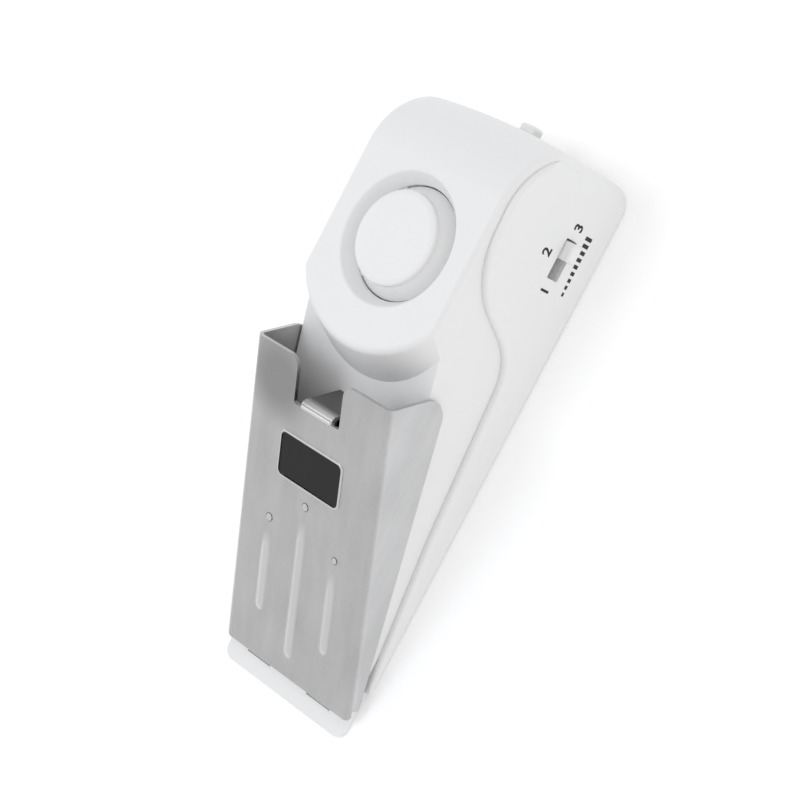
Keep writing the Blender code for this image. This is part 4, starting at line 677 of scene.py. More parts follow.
def coloured_plastic(name, text, rough=0.45):
    """Small moulded or extruded plastic part in a plain colour, with a fine satin grit."""
    rgb = linear(text)
    return drifting(name, shade(rgb, 0.90), shade(rgb, 1.06), (rough - 0.05, rough + 0.07),
                    0.003, 0.0003, 0.000010, {"IOR": 1.50})


def plated_metal(name, dark, light, rough):
    """Plated or stamped metal: slow clouds in the plating, and the fine grain of tumbling."""
    return drifting(name, linear(dark), linear(light), (rough - 0.06, rough + 0.08),
                    0.004, 0.0008, 0.000008, {"Metallic": 1.0})


def fired_ceramic():
    """Fired piezo ceramic with a thin silver electrode: pale, matt and slightly mottled."""
    return drifting("fired_piezo_ceramic", linear("#CFCBC0"), linear("#EDEAE0"), (0.45, 0.60),
                    0.0012, 0.0005, 0.000006, {"IOR": 1.60})


def solder_mask():
    """Green solder mask over etched copper: tracks 2 mm apart show lighter and slightly raised."""
    material, shader, place = new_material("green_solder_mask", {"IOR": 1.55, "Coat Weight": 0.4})
    cells = add_node(material, "ShaderNodeTexVoronoi", {"Vector": place, "Scale": 1 / 0.0022},
                     distance="CHEBYCHEV")
    tracks = add_node(material, "ShaderNodeMath", {0: cells, 1: 0.42}, operation="GREATER_THAN")
    return follow(material, shader, tracks, (linear("#1F5A33"), linear("#2F7A47")), (0.38, 0.30),
                  tracks, 0.00003, 0.5)


def wound_copper():
    """Enamelled copper wire wound in layers: reddish bands 0.25 mm wide round the coil."""
    material, shader, place = new_material("enamelled_copper_winding", {"Metallic": 1.0})
    turns = add_node(material, "ShaderNodeTexWave", {"Vector": place, "Scale": 0.314 / 0.00025,
                                                     "Distortion": 0.4, "Detail": 1.0}, "Fac",
                     bands_direction="Z")
    return follow(material, shader, turns, (linear("#5E2A16"), linear("#C66B3D")), (0.45, 0.28),
                  turns, 0.0001, 0.8)


def banded_resistor():
    """Beige lacquered resistor, dipped and then painted with colour bands 1.1 mm apart."""
    material, shader, place = new_material("dipped_lacquer_resistor", {"IOR": 1.50})
    along = add_node(material, "ShaderNodeSeparateXYZ", {"Vector": place}, "Y")
    saw = add_node(material, "ShaderNodeMath", {0: along, 1: 0.0011}, operation="MODULO")
    band = add_node(material, "ShaderNodeMath", {0: saw, 1: 0.00045}, operation="LESS_THAN")
    tone = add_node(material, "ShaderNodeMix", {0: band, 6: (*linear("#C9AE80"), 1.0),
                                                7: (*linear("#7A3B1E"), 1.0)}, 2,
                    data_type="RGBA")
    speck = add_node(material, "ShaderNodeTexNoise", {"Vector": place, "Scale": 1 / 0.0004})
    gloss = add_node(material, "ShaderNodeMapRange", {"Value": speck, "To Min": 0.35,
                                                      "To Max": 0.50})
    fill(shader, {"Base Color": tone, "Roughness": gloss})
    return material


def pale_paper():
    """Seamless white studio paper, lit from behind a little: very even, with a faint tooth."""
    rgb = bpy.context.scene.alarm_finishes.floor
    return drifting("pale_paper_floor", shade(rgb, 0.99), rgb, (0.85, 0.95), 0.4, 0.0010, 0.00001,
                    {"Emission Color": (1.0, 1.0, 1.0, 1.0), "Emission Strength": 0.15})


def coat(node, material):
    """Give a CAD node that is kept a better material through its own slot."""
    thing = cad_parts[node]
    for slot in thing.material_slots:
        slot.link = "OBJECT"
        slot.material = material


# Sizes that several pieces share, in metres

HINGE_LEAD = 0.00573    # from the tip to the hinge's axis
HINGE_HEIGHT = 0.00227  # of that axis above the floor
TAB_MIDDLE = 0.0107     # from the middle plane to the middle of a rolled tab
TAB_HALF = 0.00375      # half the length of a rolled tab
HOOK_HALF = 0.0051      # half the width of the plate's hook
HOOK_SLOT = (-0.0086, 0.0006)       # two ends of the hook's slot, along the alarm
SLOT_PLAY = 0.0004      # room beside a tab or the hook in its slot
SLOT_CORNER = 0.0004    # round of the corners of the hook's slot and the switches' slots
TAB_SLOT = (-0.0015, 0.0012)        # two ends of a tab's slot, along from the hinge's axis
TAB_FLOOR = 0.00025     # what is left under a tab's slot
DECK_DROP = 0.00035     # from the hinge's axis down to the deck, square to it
STRIP_LEAD = 0.0128     # from the tip to the front of the lower housing
PLUNGER_LEAD = 0.0364   # from the tip to the plunger's axis
BAY_FRONT = 0.0620      # from the rear face to the two ends of the battery bay
BAY_REAR = 0.0100
BAY_HALF = 0.0136       # half the width of the bay
BAY_ROOF = 0.0212       # height of its roof above the floor
BAY_WALL = 0.0012       # thickness of its end walls and its roof
BAY_SIDE = 0.0021       # thickness of its side walls
COVER_HALF = 0.0145     # half the width of the battery cover
COVER_TOP = 0.0029      # height of its inner face above the floor
COVER_RAIL = 0.0010     # thickness of the rails that hold it
PAD_HEIGHT = 0.0010     # height of a rubber pad
PAD_CORNER = 0.0015     # round of the corners of a pad's pocket
PAD_LENGTH = 0.0400     # of the pads beside the bay
PAD_INSET = 0.0025      # from the face of a side panel to a pad
PAD_SPACE = 0.0050      # from the front of the bay to the pads before and beside it
HEAD_WELL = 0.0023      # screw head plus its play
HEAD_TOP = 0.0022       # height of the upper side of a housing screw's head
PILLAR = 0.0029         # radius of the pillar over a housing screw
PILLAR_TOP = 0.0044     # height of that pillar above the floor
SCREW_HOLE = 0.0014     # radius of its hole
LEAD_HOLE = 0.0010      # radius of the holes for the battery's two leads
LEAD_HOLES = ((-0.0072, 0.0140), (0.0072, 0.0140))
HOUSING_SCREWS = ((-0.042, -0.0140), (-0.042, 0.0140), (0.0641, -0.0177), (0.0641, 0.0177))
WELL_BORE = 0.0046      # inner radius of the plunger's tube
WELL_FLOOR = 0.0042     # height of the tube's floor
WELL_WALL = 0.0010      # thickness of the tube's wall
WELL_SOLE = 0.0012      # thickness of its floor
DRUM_DEPTH = 0.0160     # from the siren's face down to where the drum is inside the deck
TONGUE = (-0.0026, 0.0132, 0.0362)  # corner of the plate left of its notch, where the painted reflection is centred
PAINTED_REFLECTION_REACH = 0.0135   # how far the painted darker reflection reaches from it


class Place:
    """Heights and places that follow from the sizes."""

    def __init__(self, scene):
        h = scene.alarm_housing
        self.hinge = Vector((h.tip + HINGE_LEAD, 0, HINGE_HEIGHT))
        self.drop = DECK_DROP / math.cos(h.deck_angle)
        self.deck_angle = h.deck_angle
        self.panel_inner = h.half - h.panel_wall
        self.upper_half = self.panel_inner - h.seam
        self.cavity_half = self.upper_half - h.wall
        self.upper_rear = h.rear - h.panel_wall - h.gap
        self.floor_top = h.lift + h.floor
        self.upper_foot = self.floor_top + h.gap
        self.strip_front = h.tip + STRIP_LEAD
        self.seat_bottom = h.height - scene.alarm_siren.depth - h.wall
        self.plunger_x = h.tip + PLUNGER_LEAD
        self.bay_front = h.rear - BAY_FRONT
        self.bay_rear = h.rear - BAY_REAR
        raised = Matrix.Rotation(-scene.alarm_plate.rest, 4, "Y")
        self.raised = Matrix.Translation(self.hinge) @ raised

    def deck_z(self, x):
        return self.hinge.z - self.drop + (x - self.hinge.x) * math.tan(self.deck_angle)

    def deck_x(self, z):
        return self.hinge.x + (z - self.hinge.z + self.drop) / math.tan(self.deck_angle)


def switch_slot(axis, along, sizes, low, high):
    """Cutter for a slide switch's slot."""
    outline = box_outline(along - sizes.slot_length / 2, along + sizes.slot_length / 2,
                          sizes.slot_z - sizes.slot_height / 2,
                          sizes.slot_z + sizes.slot_height / 2, SLOT_CORNER, 4)
    return prism("slot", outline, axis, low, high)


def pad_places(h, at):
    """Front, rear, near and far edges of the three rubber pads."""
    outer = h.half - PAD_INSET
    inner = COVER_HALF + h.panel_wall
    front = at.bay_front + PAD_SPACE
    rear = front + PAD_LENGTH
    return [(at.plunger_x + WELL_BORE, at.bay_front - PAD_SPACE, -outer, outer),
            (front, rear, inner, outer), (front, rear, -outer, -inner)]


class ALARM_OT_upper_housing(Operator):
    """Wedge shell with the deck, the siren's drum and recess, and the sound slots"""
    bl_idname = "alarm.upper_housing"
    bl_label = "Upper housing"

    def drum(self, h, at, shrink, top):
        """Flared drum round the siren, cut off behind its middle and at the sides."""
        low = h.height - DRUM_DEPTH
        radius = h.bulge_radius - shrink
        base = radius + math.tan(h.bulge_slope) * (top - low)
        edge = h.bulge_round if shrink == 0 else 0
        section = rounded([(0, low, 0), (base, low, 0), (radius, top, edge), (0, top, 0)], 12)
        thing = lathe("drum", section, (h.siren_x, 0), 192)
        half = at.upper_half - shrink
        band = rounded([(-half, low, 0), (half, low, 0), (half, top, h.edge),
                        (-half, top, h.edge)])
        return trim(thing, prism("band", band, "X", h.siren_x - base - OVER, h.siren_x))

    def shell(self, h, at):
        """Outer form of the wedge, and the hollow inside it."""
        nose = h.lift + 0.00085  # top of the blunt tip
        nose_round = 0.0004
        step = at.strip_front - h.gap
        lip = h.rim + h.seam
        half = at.upper_half
        profile = rounded([
            (h.tip, h.lift, nose_round, 6), (step, h.lift, 0), (step, at.upper_foot, 0),
            (at.upper_rear, at.upper_foot, 0), (at.upper_rear, lip, 0), (h.rear, lip, 0),
            (h.rear, h.height, h.crown, 48), (at.deck_x(h.height), h.height, 0),
            (at.deck_x(nose), nose, 0), (h.tip, nose, nose_round, 6)])
        thing = prism("upper", profile, "Y", -half, half)
        beside = half - 0.0025  # keeps the rounds' fans of faces near the edges
        slice_across(thing, (-beside, beside))

        def long_edge(a, b):
            """A side edge above the foot, but not the part of the rear skin under the lip."""
            low = min(a.z, b.z)
            return (on_side(a, b, half) and low > at.upper_foot + h.edge
                    and (max(a.x, b.x) < h.rear - h.crown or low > lip + OVER))

        round_edges(thing, long_edge, h.edge, 6)
        corner = h.corner - h.panel_wall - h.gap
        foot = plan_outline(half, h.tip, at.upper_rear, h.tip_corner, corner)
        plan = prism("foot", foot, "Z", 0, h.height + OVER)
        trim(thing, fuse(plan, prism("lip", self.lip(h, at), "Z", lip, h.height + OVER)))
        fuse(thing, self.drum(h, at, 0, h.height))
        slope = h.wall / math.cos(h.deck_angle)
        roof = h.height - h.wall
        rear = at.upper_rear - h.wall
        front = at.strip_front + 0.0072  # the tip is solid before this
        hollow = rounded([(front, 0, 0), (rear, 0, 0), (rear, roof, h.crown - h.wall, 20),
                          (at.deck_x(roof + slope), roof, 0), (front, at.deck_z(front) - slope, 0)])
        cavity = prism("cavity", hollow, "Y", -at.cavity_half, at.cavity_half)
        return cut(thing, fuse(cavity, self.drum(h, at, h.wall, roof)))

    def lip(self, h, at):
        """Plan of the lip over the rear skin, with the lower housing's rear corners."""
        x = h.rear - h.corner
        y = h.half - h.corner
        side = math.asin((at.upper_half - y) / h.corner)
        near = arc((x, -y), h.corner, -side, 0, 12)
        far = arc((x, y), h.corner, 0, side, 12)
        return [(h.siren_x, -at.upper_half), *near, *far, (h.siren_x, at.upper_half)]

    def recess(self, h, s, at):
        """Cutter for the dished recess, which leaves a flared collar round the cap's hole."""
        play = 0.00002
        hole = s.cap + play
        floor = h.height - s.depth
        foot = s.slot_out - s.slot_wide
        shares = [1 - step / 12 for step in range(13)]
        collar = [(foot - (foot - hole) * share, floor + s.collar * share ** 1.25)
                  for share in shares]
        lean = math.atan2(s.mouth - s.seat, s.depth)
        fillet = 0.0004
        dish = s.seat + fillet * math.sin(lean)
        reach = s.lip * math.tan((math.pi / 2 - lean) / 2)
        past_upright = math.radians(98)
        lip = arc((s.mouth + reach, h.height - s.lip), s.lip, math.pi - lean, past_upright, 8)
        above = h.height + OVER
        below = at.seat_bottom - OVER
        section = [(0, below), (hole, below), *collar, (s.seat + fillet, floor),
                   (dish, floor + fillet), *lip, (lip[-1][0], above), (0, above)]
        return lathe("recess", section, (h.siren_x, 0), 192)

    def sound_slots(self, h, s, at):
        """Two crescents beside the cap, towards the tip and towards the rear."""
        tools = []
        for middle in (0, math.pi):
            ends = (middle - s.slot_span, middle + s.slot_span)
            outer = arc((h.siren_x, 0), s.slot_out, *ends, 32)
            inner = arc((h.siren_x, 0), s.slot_out - s.slot_wide, *reversed(ends), 32)
            tools.append(prism("crescent", outer + inner, "Z", at.seat_bottom - OVER, h.height))
        return tools

    def openings(self, h, at, switch):
        """Cutters for the switches, the cover's rail, the hinge's tabs and the hook."""
        wide = COVER_HALF + h.gap
        skin = at.upper_rear - h.wall - OVER
        tools = [switch_slot("Y", switch.side_x, switch, -h.half - OVER, OVER - at.cavity_half),
                 switch_slot("X", 0, switch, skin, h.rear),
                 block("rail", skin, h.rear, -wide, wide, 0, COVER_TOP + h.gap)]
        reach = TAB_HALF + SLOT_PLAY
        front, rear = (at.hinge.x + end for end in TAB_SLOT)
        for y in (-TAB_MIDDLE, TAB_MIDDLE):
            tools.append(block("tab_slot", front, rear, y - reach, y + reach,
                               h.lift + TAB_FLOOR, h.height))
        reach = HOOK_HALF + SLOT_PLAY
        tools.append(block("hook_slot", *HOOK_SLOT, -reach, reach, WELL_FLOOR, h.height,
                           SLOT_CORNER))
        return tools

    def plunger_well(self, h, at):
        """Tube that guides the plunger, and the cutter that hollows it round its middle post."""
        outer = WELL_BORE + WELL_WALL
        bottom = WELL_FLOOR - WELL_SOLE
        post, post_high = 0.0019, 0.0028
        post_top = WELL_FLOOR + post_high
        tube = rod("guide", outer, (at.plunger_x, 0), bottom,
                   at.deck_z(at.plunger_x - outer) - ROOT)
        section = [(0, post_top), (post, post_top), (post, WELL_FLOOR), (WELL_BORE, WELL_FLOOR),
                   (WELL_BORE, h.height), (0, h.height)]
        return tube, lathe("well", section, (at.plunger_x, 0))

    def execute(self, context):
        scene = context.scene
        h, s, switch = scene.alarm_housing, scene.alarm_siren, scene.alarm_switches
        at = Place(scene)
        thing = self.shell(h, at)
        seat_wall = 0.0012
        seat = rod("seat", s.mouth + seat_wall, (h.siren_x, 0), at.seat_bottom,
                   h.height - h.wall + ROOT, steps=96)
        tube, well = self.plunger_well(h, at)
        fuse(thing, seat, tube)
        cut(thing, well, self.recess(h, s, at), *self.sound_slots(h, s, at),
            *self.openings(h, at, switch))
        bow_rear(thing, h)
        settle(thing, "upper_housing_moulding", "base", satin_abs(),
               ["upper_housing"])
        return {"FINISHED"}


class ALARM_OT_lower_housing(Operator):
    """Base tray with the proud side panels that sweep up round the siren"""
    bl_idname = "alarm.lower_housing"
    bl_label = "Lower housing"

    def profile(self, h, at):
        """Side view: a low strip that sweeps up into the panel round the siren."""
        top = h.height - 0.0014
        corners = [  # along, height, round and steps
            (at.strip_front, h.lift, 0, 1), (h.rear, h.lift, 0.0010, 8),
            (h.rear, top, h.crown, 40), (h.siren_x - 0.0003, top - 0.0017, 0.0200, 48),
            (h.siren_x - 0.0131, 0.0113, 0.0135, 32), (h.tip + 0.0500, 0.0071, 0.0600, 16),
            (at.strip_front, h.lift + 0.0010, 0.0005, 6),
        ]
        outline = []
        for index, corner in enumerate(corners):
            before = corners[index - 1]
            after = corners[(index + 1) % len(corners)]
            outline += rounded([(*before[:2], 0), corner, (*after[:2], 0)])[1:-1]
        return outline

    def shell(self, h, at):
        """Outer form of the tray, and the hollow over its floor."""
        thing = prism("lower", self.profile(h, at), "Y", -h.half, h.half)
        floor = h.lift + 0.00095  # just under the top of the round at the rear foot
        round_edges(thing, lambda a, b: on_side(a, b, h.half) and min(a.z, b.z) > floor,
                    h.panel_edge, 6)
        plan = plan_outline(h.half, at.strip_front - OVER, h.rear, 0, h.corner)
        trim(thing, prism("plan", plan, "Z", 0, h.height))
        inner = plan_outline(at.panel_inner, h.tip, at.upper_rear + h.gap, 0,
                             h.corner - h.panel_wall)
        rim = block("rim", h.siren_x, h.rear + OVER, -at.panel_inner, at.panel_inner,
                    h.rim, h.height)
        return cut(thing, prism("inside", inner, "Z", at.floor_top, h.height + OVER), rim)

    def openings(self, h, at, switch):
        """Cutters for the battery bay and its cover, the switches, screws, pads and leads."""
        wide = COVER_HALF + h.gap
        mouth = BAY_HALF - 0.0001  # a hair inside the bay's walls
        behind = h.rear + OVER
        cover = COVER_TOP + h.gap
        tools = [
            block("hollow", at.bay_front, at.bay_rear, -BAY_HALF, BAY_HALF, COVER_TOP, BAY_ROOF),
            block("mouth", at.bay_front, behind, -mouth, mouth, 0, cover),
            block("rails", at.bay_front, behind, -wide, wide, h.lift + COVER_RAIL, cover),
            switch_slot("Y", switch.side_x, switch, -h.half - OVER, -at.panel_inner + OVER),
            switch_slot("X", 0, switch, at.upper_rear, behind),
        ]
        for place in HOUSING_SCREWS:
            tools.append(rod("well", HEAD_WELL, place, 0, HEAD_TOP + h.gap))
            tools.append(rod("hole", SCREW_HOLE, place, 0, h.height))
        for x0, x1, y0, y1 in pad_places(h, at):
            tools.append(block("pad_pocket", x0 - h.gap, x1 + h.gap, y0 - h.gap, y1 + h.gap,
                               0, PAD_HEIGHT + h.gap, PAD_CORNER))
        for place in LEAD_HOLES:
            tools.append(rod("lead_hole", LEAD_HOLE, place, at.bay_front - BAY_WALL - OVER,
                             at.bay_front + OVER, "X"))
        return tools

    def execute(self, context):
        scene = context.scene
        h = scene.alarm_housing
        at = Place(scene)
        thing = self.shell(h, at)
        root = at.floor_top - ROOT
        wide = BAY_HALF + BAY_SIDE
        bay = block("bay", at.bay_front - BAY_WALL, at.bay_rear + BAY_WALL, -wide, wide, root,
                    BAY_ROOF + BAY_WALL)
        fuse(thing, bay, *[rod("pillar", PILLAR, place, root, PILLAR_TOP)
                           for place in HOUSING_SCREWS])
        cut(thing, *self.openings(h, at, scene.alarm_switches))
        bow_rear(thing, h)
        settle(thing, "lower_housing_moulding", "base", satin_abs(),
               ["lower_housing"])
        return {"FINISHED"}


class ALARM_OT_siren(Operator):
    """Round cap of the siren, with its flange and sound windows"""
    bl_idname = "alarm.siren"
    bl_label = "Siren cap"

    def execute(self, context):
        scene = context.scene
        h, s = scene.alarm_housing, scene.alarm_siren
        at = Place(scene)
        top = h.height + s.proud
        wall, roof_wall, flange_wide = 0.0012, 0.0015, 0.0029
        below, above = 0.0007, 0.0008  # rounds under and over the sloping edge
        bore = s.cap - wall
        flange = s.cap + flange_wide
        flange_top = at.seat_bottom - h.gap
        flange_low = flange_top - wall
        roof = top - roof_wall
        section = rounded([(0, roof, 0), (bore, roof, 0), (bore, flange_low, 0),
                           (flange, flange_low, 0), (flange, flange_top, 0),
                           (s.cap, flange_top, 0), (s.cap, top - s.cap_edge / 3, below),
                           (s.cap - s.cap_edge, top, above), (0, top, 0)])
        thing = lathe("cap", section, (h.siren_x, 0), 192)
        window, window_high = 0.0050, 0.0026
        cut(thing, block("window", h.siren_x - flange, h.siren_x + flange, -window, window,
                         flange_top, flange_top + window_high))
        settle(thing, "siren_cap_moulding", "base", glossy_abs(), ["siren_cap"])
        return {"FINISHED"}


PLATE_LOW = -0.0004     # low end of the plate, along it from the hinge's axis
LOW_CORNER = 0.0020     # round of the plate's low corners, seen from above
NOTCH_CORNER = 0.0006   # round of the corners at the notch's floor
FLANGE_CORNER = 0.0054  # round of a flange's high end, seen from the side
FLANGE_START = 0.0022   # where the flanges start, along from the hinge's axis
FLANGE_TOE = 0.0012     # round of a flange's low end
HOOK_REACH = 0.0132     # from the plate down to the foot of its hook
HOOK_FOOT = 0.0032      # length of that foot
HOOK_BEND = 0.0008      # inner radius of the bend at the hook's root
SIDE_LINE = 0.0114      # from the middle to a side rib
# Start, end, place across and length of the fade of each rib
RIBS = ((0.0115, 0.0348, SIDE_LINE, 0.0090), (0.0045, 0.0428, 0.0, 0.0100),
        (0.0115, 0.0348, -SIDE_LINE, 0.0090))
# Place along and across and radius of each stud
STUDS = ((0.0362, SIDE_LINE, 0.00092), (0.0442, 0.0, 0.00092), (0.0362, -SIDE_LINE, 0.00072))
# Place along from the notch's floor, height over the sheet and radius of a bar across it
ROLLED_EDGE = (0.0003, -0.00014, 0.00060)
EDGE_GROOVE = (-0.00055, 0.00005, 0.00025)
KNUCKLE = 0.0008        # radius of a rolled tab


class ALARM_OT_pressure_plate(Operator):
    """Folded stainless plate with its ribs, studs, notch and hook, and the label set in it"""
    bl_idname = "alarm.pressure_plate"
    bl_label = "Pressure plate"

    def folded(self, p, run):
        """Where a distance across the flat blank lies once the flanges are folded down."""
        flat = p.half - p.fold
        bend = p.fold * math.pi / 2
        side = math.copysign(1, run)
        run = abs(run)
        if run <= flat:
            return side * run, p.sheet
        if run > flat + bend:
            return side * p.half, p.sheet - p.fold - (run - flat - bend)
        turn = (run - flat) / p.fold
        return side * (flat + p.fold * math.sin(turn)), p.sheet - p.fold * (1 - math.cos(turn))

    def rib_height(self, p, along, across, rib):
        """Height of one pressed rib: round at its low end and fading at its high end."""
        start, end, middle, fade = rib
        crest = 0.12  # share of its half width that is flat
        side = math.hypot(across - middle, max(start + p.rib_half - along, 0.0)) / p.rib_half
        rise = 1 - ease((side - crest) / (1 - crest))
        return p.rib_proud * rise * ease((end - along) / fade)

    def sheet(self, p):
        """A grid laid as the flat blank, its ribs pressed and its flanges folded."""
        cells, rows = 150, 12  # over the top, and down each flange
        edge = p.half - p.fold + p.fold * math.pi / 2
        deep = p.flange_rear + OVER
        top = [round(2 * edge * step / cells - edge, 7) for step in range(cells + 1)]
        flange = [edge + deep * step / rows for step in range(1, rows + 1)]
        across = [-value for value in reversed(flange)] + top + flange
        low = PLATE_LOW - OVER
        high = p.run + OVER
        along = [low + (high - low) * step / cells for step in range(cells + 1)]
        thing = add_primitive(bpy.ops.mesh.primitive_grid_add, x_subdivisions=len(along) - 1,
                              y_subdivisions=len(across) - 1, size=1.0)
        for point in thing.data.vertices:
            x = along[round((point.co.x + 0.5) * (len(along) - 1))]
            run = across[round((point.co.y + 0.5) * (len(across) - 1))]
            y, up = self.folded(p, run)
            if abs(run) < p.half - p.fold:
                up += max(self.rib_height(p, x, y, rib) for rib in RIBS)
            point.co = (x, y, up)
        apply_modifier(thing, "SOLIDIFY", thickness=p.sheet, offset=-1.0)
        return face_out(thing)

    def outline_tools(self, p):
        """Trimming tools: the flanges' side view and the notched plan."""
        above = p.sheet + OVER
        side = rounded([
            (PLATE_LOW, 0, 0), (FLANGE_START, 0, 0), (FLANGE_START, -p.flange_front, FLANGE_TOE),
            (p.run, -p.flange_rear, FLANGE_CORNER, 20), (p.run, above, 0), (PLATE_LOW, above, 0)])
        floor = p.run - p.notch_depth
        near = [(PLATE_LOW, -p.half, LOW_CORNER), (p.run, -p.half, 0),
                (p.run, -p.notch_half, p.notch_round), (floor, -p.notch_half, NOTCH_CORNER)]
        plan = rounded(near + [(x, -y, radius) for x, y, radius in reversed(near)], 12)
        wide = p.half + OVER
        return (prism("side", side, "Y", -wide, wide),
                prism("plan", plan, "Z", -p.flange_rear - OVER, above + OVER))

    def hook(self, p):
        """Tab bent down from the notch, with a foot that catches under the deck."""
        root = p.run - p.notch_depth - p.sheet
        inner = root + p.sheet + HOOK_BEND
        outer = inner + p.sheet
        toe = inner - HOOK_FOOT
        sole = -HOOK_REACH
        outline = rounded([
            (root, 0, 0), (inner, 0, HOOK_BEND), (inner, sole + p.sheet, 0),
            (toe, sole + p.sheet, 0), (toe, sole, 0), (outer, sole, p.sheet / 2),
            (outer, p.sheet, HOOK_BEND + p.sheet / 2), (root, p.sheet, 0)], 10)
        return prism("hook", outline, "Y", -HOOK_HALF, HOOK_HALF)

    def bar(self, p, along, up, radius):
        """A bar with round ends that lies across the notch's floor, as wide as the hook."""
        thing = add_primitive(bpy.ops.mesh.primitive_uv_sphere_add, segments=24, ring_count=24,
                              radius=radius, rotation=(math.radians(90), 0, 0))
        bpy.ops.object.transform_apply(location=False, rotation=True, scale=False)
        pick(thing, "VERT", lambda point: point.co.y > SAME)
        bpy.ops.transform.translate(value=(0, 2 * (HOOK_HALF - radius), 0))
        leave()
        place = (p.run - p.notch_depth + along, radius - HOOK_HALF, p.sheet + up)
        return face_out(bake_place(thing, Matrix.Translation(place)))

    def stud(self, p, along, across, radius):
        """Small half-pierced stud at the high end of a rib, and the groove pressed round it."""
        root = p.sheet - ROOT
        side, middle, corner = 0.00020, 0.00024, 0.00014  # two heights of the stud, and its round
        crown = rounded([(0, root, 0), (radius, root, 0), (radius, p.sheet + side, corner),
                         (0, p.sheet + middle, 0)], 6)
        wide, deep = 0.00020, 0.00034
        outer = radius + wide
        floor = p.sheet - deep
        groove = [(radius, floor), (outer, floor), (outer, p.sheet + OVER), (radius, p.sheet + OVER)]
        return lathe("stud", crown, (along, across), 48), lathe("groove", groove, (along, across), 48)

    def around_label(self, p, margin, corner, low, high):
        """A block round the label's place, larger than the label by a margin."""
        half = p.label_width / 2 + margin
        reach = p.label_length / 2 + margin
        return block("label", p.label_centre - reach, p.label_centre + reach, -half, half,
                     low, high, corner)

    def raised_pad(self, p):
        """Low pad that the label's pocket is cut in, which leaves a bead round it."""
        high, bead, corner, soft = 0.00026, 0.0007, 0.0018, 0.00022
        top = p.sheet + high
        thing = self.around_label(p, bead, corner, p.sheet - ROOT, top)
        return round_edges(thing, lambda a, b: min(a.z, b.z) > top - SAME, soft, 4)

    def label(self, p, at):
        """Film label, bare, with its edge broken."""
        sunk, thick, corner, broken = 0.0003, 0.0004, 0.0012, 0.0001
        base = p.sheet - sunk
        top = base + thick
        thing = self.around_label(p, 0, corner, base, top)
        round_edges(thing, lambda a, b: min(a.z, b.z) > top - SAME, broken, 3)
        bake_place(thing, at.raised)
        settle(thing, "label_film", "plate", label_film(), ["label_plate"])

    def execute(self, context):
        p = context.scene.alarm_plate
        at = Place(context.scene)
        thing = trim(self.sheet(p), *self.outline_tools(p))
        studs, grooves = zip(*(self.stud(p, *place) for place in STUDS))
        cut(thing, *grooves, self.bar(p, *EDGE_GROOVE))
        knuckles = [rod("knuckle", KNUCKLE, (0, 0), y - TAB_HALF, y + TAB_HALF, "Y", 24)
                    for y in (-TAB_MIDDLE, TAB_MIDDLE)]
        fuse(thing, self.hook(p), self.bar(p, *ROLLED_EDGE), *knuckles, *studs,
             self.raised_pad(p))
        play, corner, deep = 0.0002, 0.0013, 0.0005
        cut(thing, self.around_label(p, play, corner, p.sheet - deep, p.sheet + OVER))
        bake_place(thing, at.raised)
        settle(thing, "pressure_plate_sheet", "plate", brushed_stainless(),
               ["pressure_plate"])
        self.label(p, at)
        return {"FINISHED"}


class ALARM_OT_plunger(Operator):
    """Domed plunger that pushes the plate up, and the spring under it"""
    bl_idname = "alarm.plunger"
    bl_label = "Plunger"

    def execute(self, context):
        at = Place(context.scene)
        radius = PLUNGER_HIGH[0] - at.plunger_x
        top = PLUNGER_HIGH[2]
        foot = PLUNGER_LOW[2]
        dome, wall = 0.0050, 0.0008
        shoulder = math.asin(radius / dome)
        crown = arc((0, top - dome), dome, math.pi / 2 - shoulder, math.pi / 2, 16)
        roof = crown[0][1] - wall
        section = [(0, roof), (radius - wall, roof), (radius - wall, foot), (radius, foot),
                   *crown[:-1], (0, top)]
        thing = lathe("plunger", section, (at.plunger_x, 0), 64)
        settle(thing, "lift_plunger_moulding", "plunger", glossy_abs(),
               ["lift_plunger"])
        self.spring(at)
        return {"FINISHED"}

    def spring(self, at):
        """Coil spring, a merged copy of its CAD node, attached to the plunger with a mesh of its own.
        """
        wire = from_node("return_spring", "spring")
        settle(wire, "return_spring_wire", "plunger",
               plated_metal("nickel_plated_spring_wire", "#8C8C90", "#C2C2C6", 0.28),
               ["return_spring"])
        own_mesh(wire)


# Each digit with its place along and its height, and at the rear its place across
SIDE_DIGITS = (("1", 0.0410, 0.0128), ("2", 0.0487, 0.0185), ("3", 0.0565, 0.0123))
REAR_DIGITS = (("0", -0.0075), ("1", 0.0075))


